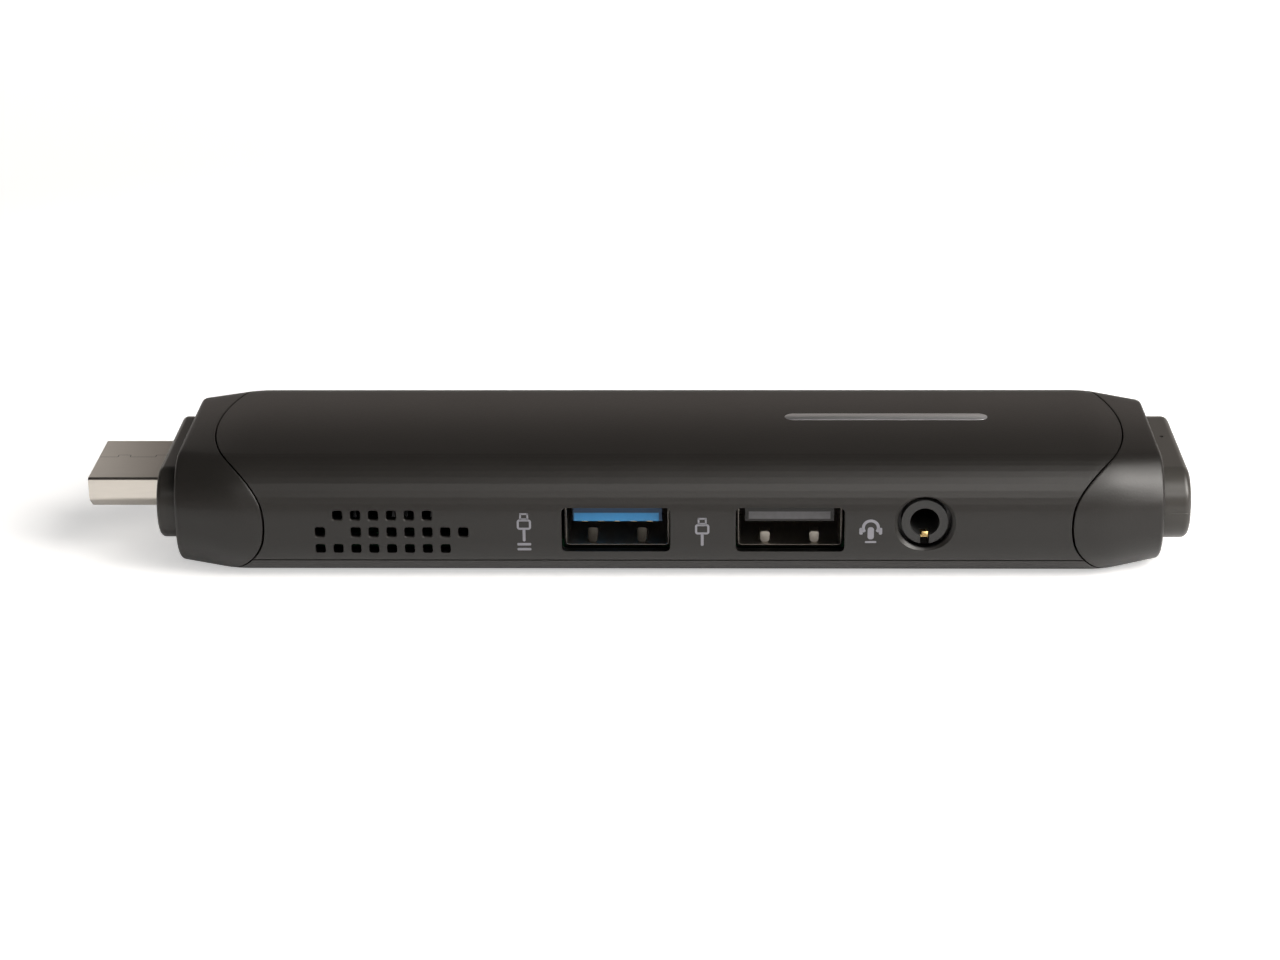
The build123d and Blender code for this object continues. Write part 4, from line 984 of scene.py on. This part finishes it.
# HDMI plug
# A shell folded from nickel-plated steel sheet, with a tabbed joint along its top, round a black
# moulded insert whose slot holds nineteen gilt contacts.
plug_steel = sheet_metal(
    "plug_steel", (0.78, 0.735, 0.67), (0.86, 0.81, 0.745), 0.34, 0.08, (400, 5000, 3000)
)
plug_length = 18.45 * MM
mesh = plug_outline()
hollowed(mesh, 0.3 * MM)
drawn_out(mesh, (plug_length, 0, 0))
move(mesh, tip_x, 0, 0)
plug_shell = piece("hdmi_plug_skin", mesh, "body", "plug_steel", plug_steel, "hdmi_plug_shell")
edges_rounded(plug_shell, 0.08 * MM, 50, 2)
settle(plug_shell)
even_shading(plug_shell)

# A hairline joint with two tabs along the top, and painted shade on the rounding at its front edge.
tree = plug_steel.node_tree
along, across, height = place_on_part(tree)
joint_y, joint_half, tab_reach, tab_half = 0.7 * MM, 0.05 * MM, 0.7 * MM, 0.78 * MM
from_tabs = [
    worked_out(tree, "ABSOLUTE", worked_out(tree, "SUBTRACT", along, tip_x + tab_x))
    for tab_x in (3.25 * MM, 8.1 * MM)
]
nearer = worked_out(tree, "MINIMUM", *from_tabs)
in_tab = worked_out(tree, "LESS_THAN", nearer, tab_half)
joint_line = worked_out(tree, "MULTIPLY_ADD", in_tab, tab_reach, joint_y)
along_line = worked_out(tree, "COMPARE", across, joint_line, joint_half)
tab_side = worked_out(tree, "COMPARE", nearer, tab_half, joint_half)
beside_tab = worked_out(tree, "COMPARE", across, joint_y + tab_reach / 2, tab_reach / 2)
joint = worked_out(tree, "MAXIMUM", along_line, worked_out(tree, "MULTIPLY", tab_side, beside_tab))
on_top = worked_out(tree, "GREATER_THAN", height, block_z + 2.1 * MM)
joint = worked_out(tree, "MULTIPLY", joint, on_top)
recoloured(plug_steel, worked_out(tree, "MULTIPLY", joint, 0.8), (0.10, 0.09, 0.08))
# Painted shade on the rounding of the shell's front top edge.
painted_shade_rounding = worked_out(tree, "COMPARE", height, block_z + 2.09 * MM, 0.12 * MM)
painted_shade_rounding = worked_out(tree, "MULTIPLY", painted_shade_rounding, worked_out(tree, "LESS_THAN", across, -6.55 * MM))
recoloured(plug_steel, worked_out(tree, "MULTIPLY", painted_shade_rounding, 0.85), (0.12, 0.11, 0.10))


def dress(finish, *names):
    """Gives CAD nodes their finish."""
    for name in names:
        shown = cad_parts[name]
        if not shown.material_slots:
            shown.data.materials.append(finish)
        for place in shown.material_slots:
            place.material = finish


black_insulator = plastic(
    "black_insulator", (0.014, 0.014, 0.014), (0.022, 0.022, 0.022), 0.42, 0.1, 2500, 0.000006
)
contact_gold = sheet_metal(
    "contact_gold", (0.75, 0.52, 0.2), (0.86, 0.64, 0.3), 0.26, 0.1, (3000, 700, 3000)
)


def eased(name, source, body, slot, finish, width, angle=40):
    """A copy of a CAD node's mesh with its edges eased, which stands for the node."""
    mesh = bmesh.new()
    mesh.from_mesh(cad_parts[source].data)
    bmesh.ops.remove_doubles(mesh, verts=mesh.verts, dist=0.0005 * MM)
    bmesh.ops.dissolve_limit(mesh, angle_limit=radians(1), verts=mesh.verts, edges=mesh.edges)
    made = piece(name, mesh, body, slot, finish, source)
    edges_rounded(made, width, angle, 2)
    settle(made)
    even_shading(made)


dress(black_insulator, "hdmi_plug_insert", "hdmi_plug_base")
dress(contact_gold, "hdmi_plug_contacts")

# USB sockets
# Each is a folded steel shell with two springs in its floor and a moulded tongue that carries the
# contacts: blue for the faster socket, grey for the other.
socket_steel = sheet_metal(
    "socket_steel", (0.42, 0.40, 0.36), (0.52, 0.49, 0.45), 0.32, 0.1, (2500, 500, 2500)
)
# Painted shade: faces of the sheet that look along the sockets are painted near black.
tree = socket_steel.node_tree
painted_shade_facing = worked_out(tree, "ABSOLUTE", facing(tree)["Y"])
recoloured(socket_steel, ranged(tree, painted_shade_facing, 0.93, 0.99), (0.03, 0.028, 0.025))


def tongue_plastic(name, colour, worn, centre_x, half_width, low_z, high_z, edge_shade_colour):
    """A tongue's plastic with painted shade: dark at its face's edges, black on the block behind.
    """
    made = plastic(name, colour, worn, 0.38, 0.1, 1500, 0.000005)
    tree = made.node_tree
    along, across, height = place_on_part(tree)
    off_middle = worked_out(tree, "ABSOLUTE", worked_out(tree, "SUBTRACT", along, centre_x))
    # Painted shade along the sides, top and floor of the tongue's face.
    at_side = ranged(tree, off_middle, half_width, half_width + 0.1 * MM)
    at_top = ranged(tree, height, high_z, high_z + 0.12 * MM)
    at_floor = ranged(tree, height, low_z, low_z - 0.08 * MM)
    shaded_edge = worked_out(tree, "MAXIMUM", worked_out(tree, "MAXIMUM", at_side, at_top), at_floor)
    recoloured(made, shaded_edge, edge_shade_colour)
    # Painted shade: the block behind the tongue's face is painted near black.
    recoloured(made, ranged(tree, across, -9.0 * MM, -5.2 * MM), (0.008, 0.008, 0.009))
    return made


# The last colour of each is the painted shade at the edges of its face.
blue_plastic = tongue_plastic(
    "blue_plastic",
    (0.045, 0.34, 0.76),
    (0.06, 0.39, 0.84),
    usb3_window_x,
    5.2 * MM,
    6.8 * MM,
    7.9 * MM,
    (0.004, 0.045, 0.12),
)
grey_plastic = tongue_plastic(
    "grey_plastic",
    (0.11, 0.11, 0.12),
    (0.23, 0.23, 0.245),
    usb2_x,
    5.0 * MM,
    7.22 * MM,
    8.1 * MM,
    (0.01, 0.01, 0.01),
)


def thickened(mesh, thickness, edge_round, segments):
    """Gives a flat shape its thickness, with the edges of its front rounded."""
    front = mesh.verts[:]
    drawn_out(mesh, (0, thickness, 0))
    edges = [edge for edge in mesh.edges if all(vertex in front for vertex in edge.verts)]
    rounded(mesh, edges, edge_round, segments)


spring_y, spring_foot_z, spring_offset = -13.95 * MM, 4.2 * MM, 3.05 * MM


def spring(x, height):
    """A sprung lip of the shell's floor: a tongue with a round lower end, which leans back."""
    width, thickness, lean = 1.05 * MM, 0.25 * MM, radians(23)
    mesh = outline(width, height, 0.36 * MM, 6)
    for vertex in mesh.verts:
        vertex.co.x *= 1 + 0.3 * (vertex.co.z / height + 0.5)
    thickened(mesh, thickness, 0.08 * MM, 3)
    rotate(mesh, -lean, "X")
    move(mesh, x, spring_y, spring_foot_z + height / 2)
    return mesh


spring_streaks = (900, 500, 900)
shaded_steel = sheet_metal(
    "shaded_steel", (0.035, 0.032, 0.028), (0.06, 0.055, 0.048), 0.4, 0.1, spring_streaks
)
worn_steel = sheet_metal(
    "worn_steel", (0.15, 0.14, 0.125), (0.38, 0.355, 0.32), 0.45, 0.1, spring_streaks
)
ease = 0.1 * MM
for socket, slot_name, tongue_finish, centre_x, spring_finish, spring_height in (
    ("usb3", "blue_insulator", blue_plastic, usb3_x, shaded_steel, 1.9 * MM),
    ("usb2", "grey_insulator", grey_plastic, usb2_x, worn_steel, 1.4 * MM),
):
    eased(socket + "_socket_shell", socket + "_shell", "body", "socket_steel", socket_steel, ease)
    eased(socket + "_socket_tongue", socket + "_tongue", "body", slot_name, tongue_finish, ease)
    places = [centre_x + side * spring_offset for side in (-1, 1)]
    springs = joined_mesh([spring(x, spring_height) for x in places])
    piece(socket + "_socket_springs", springs, "body", "socket_steel", spring_finish)
    dress(contact_gold, socket + "_contacts")

# Headset jack
# A black moulding with a round ring in the casing's hole; a gilt contact shows in the notch at the
# bottom of the ring.
ring_plastic = plastic(
    "ring_plastic", (0.022, 0.022, 0.022), (0.03, 0.03, 0.03), 0.36, 0.08, 1800, 0.000005
)
eased("headset_jack", "audio_jack_body", "body", "black_insulator", ring_plastic, 0.12 * MM, 50)
dress(contact_gold, "audio_jack_contacts")
tip_width, tip_height, tip_y, tip_drop = 0.88 * MM, 0.68 * MM, -16.0 * MM, 1.72 * MM
mesh = outline(tip_width, tip_height, 0.08 * MM, 3)
for vertex in mesh.verts:
    vertex.co.x *= 0.9 + 0.2 * vertex.co.z / tip_height
thickened(mesh, 0.25 * MM, 0.06 * MM, 2)
rotate(mesh, radians(-21), "X")
move(mesh, jack_x + 0.05 * MM, tip_y, jack_z - tip_drop)
piece("headset_contact_tip", mesh, "body", "contact_gold", contact_gold)

# Power inlet
# A small folded steel shell on the rear side, with a thin black tongue that carries five contacts.
# It is soldered to the board and looks out through its window in the casing.
eased("inlet_shell", "power_inlet_shell", "body", "socket_steel", socket_steel, 0.05 * MM)
eased("inlet_tongue", "power_inlet_tongue", "body", "black_insulator", black_insulator, 0.06 * MM)
dress(contact_gold, "power_inlet_contacts")

# Power button
# A slim pill in the casing's plastic on the rear side. A flange keeps it in, and its stem presses
# the plunger of a switch on the board.
eased("button_cap", "power_button", "button", "casing", casing_plastic, 0.15 * MM, 50)
dress(black_insulator, "power_switch", "switch_plunger")

# Status light
# A bent rod of clear polycarbonate leads the light of a small white lamp on the board to a round
# hole in the rear side, beside the power button.
clear_rod, tree, shader = material("clear_rod")
frost = noise(tree, own_place(tree), 900)
fill(
    shader,
    {
        "Base Color": (0.85, 0.88, 0.9, 1),
        "Roughness": ranged(tree, frost, 0, 1, 0.12, 0.3),
        "Transmission Weight": 0.8,
        "IOR": 1.58,
    },
)
eased("light_rod", "status_light_pipe", "body", "light_pipe", clear_rod, 0.08 * MM, 50)
lamp_white = plastic("lamp_white", (0.6, 0.6, 0.55), (0.7, 0.7, 0.64), 0.4, 0.1, 1500)
dress(lamp_white, "status_led")

# Main board and the parts on it
# Green glass-fibre board with copper tracks under its solder mask. Chips, coils and capacitors in
# black or buff mouldings are soldered to both faces.
board_mask, tree, shader = material("board_mask")
tracks = node(
    tree,
    "ShaderNodeTexBrick",
    {
        "Vector": own_place(tree),
        "Color1": (0.006, 0.075, 0.03, 1),
        "Color2": (0.01, 0.11, 0.045, 1),
        "Mortar": (0.02, 0.17, 0.07, 1),
        "Scale": 260,
        "Mortar Size": 0.06,
    },
).outputs
pads = node(
    tree, "ShaderNodeTexVoronoi", {"Vector": own_place(tree), "Scale": 420, "Randomness": 0.6}
)
on_pad = worked_out(tree, "LESS_THAN", pads.outputs["Distance"], 0.16)
fill(
    shader,
    {
        "Base Color": mixed(tree, on_pad, tracks["Color"], (0.55, 0.5, 0.4)),
        "Roughness": ranged(tree, tracks["Fac"], 0, 1, 0.28, 0.4),
    },
)
dress(board_mask, "main_board", "wireless_module")
chip_black = plastic(
    "chip_black", (0.022, 0.022, 0.025), (0.03, 0.03, 0.033), 0.45, 0.12, 2600, 0.000008
)
dress(chip_black, "processor", "memory_chips", "storage_chip", "firmware_chip")
dress(chip_black, "power_chip", "audio_chip", "power_coils")
ceramic_buff = plastic("ceramic_buff", (0.33, 0.24, 0.15), (0.42, 0.32, 0.2), 0.4, 0.1, 2000)
dress(ceramic_buff, "capacitors")
tinned_steel = sheet_metal(
    "tinned_steel", (0.55, 0.55, 0.56), (0.64, 0.64, 0.64), 0.3, 0.1, (800, 4000, 800)
)
dress(tinned_steel, "crystal", "wireless_shield")

# Heat plate, fins and screws
# A stamped aluminium plate on four spacers takes the processor's heat through a soft grey pad, and
# black anodised fins stand on it behind the vents.
pad_grey = plastic("pad_grey", (0.28, 0.3, 0.33), (0.34, 0.36, 0.38), 0.75, 0.1, 1500, 0.00002)
dress(pad_grey, "thermal_pad")
plate_aluminium = sheet_metal(
    "plate_aluminium", (0.5, 0.5, 0.51), (0.6, 0.6, 0.6), 0.36, 0.1, (4000, 300, 300)
)
dress(plate_aluminium, "heat_plate", "plate_spacers")
fin_black = sheet_metal(
    "fin_black", (0.05, 0.05, 0.052), (0.075, 0.075, 0.078), 0.4, 0.1, (300, 4000, 300)
)
dress(fin_black, "fin_stack")
screw_steel = sheet_metal(
    "screw_steel", (0.2, 0.2, 0.215), (0.3, 0.3, 0.31), 0.34, 0.12, (1500, 1500, 1500)
)
dress(screw_steel, "plate_screws", "board_screws", "fan_shaft")
eased("cover_screws", "casing_screws", "body", "screw_steel", screw_steel, 0.08 * MM, 50)

# Fan
# A flat blower in black plastic, open above its hub. Its rotor is a cup with twenty-one blades and
# a ring magnet, and turns round a wound stator.
fan_plastic = plastic(
    "fan_plastic", (0.018, 0.018, 0.018), (0.028, 0.028, 0.028), 0.4, 0.1, 2200, 0.000008
)
dress(fan_plastic, "fan_housing", "fan_cover", "fan_rotor")
magnet_grey = plastic("magnet_grey", (0.1, 0.095, 0.09), (0.14, 0.13, 0.125), 0.5, 0.1)
dress(magnet_grey, "fan_magnet")
coil_copper = sheet_metal(
    "coil_copper", (0.5, 0.2, 0.09), (0.66, 0.3, 0.15), 0.34, 0.1, (700, 700, 9000), 0.00001
)
dress(coil_copper, "fan_stator")

# Antennas
# Two films with copper on them, stuck under the roof. A thin grey lead runs to each from the
# wireless module, over the board.
antenna_film = sheet_metal(
    "antenna_film", (0.5, 0.33, 0.16), (0.62, 0.44, 0.25), 0.36, 0.1, (1200, 1200, 1200)
)
dress(antenna_film, "antennas")
lead_grey = plastic("lead_grey", (0.06, 0.06, 0.062), (0.09, 0.09, 0.092), 0.5, 0.1)
dress(lead_grey, "antenna_leads")
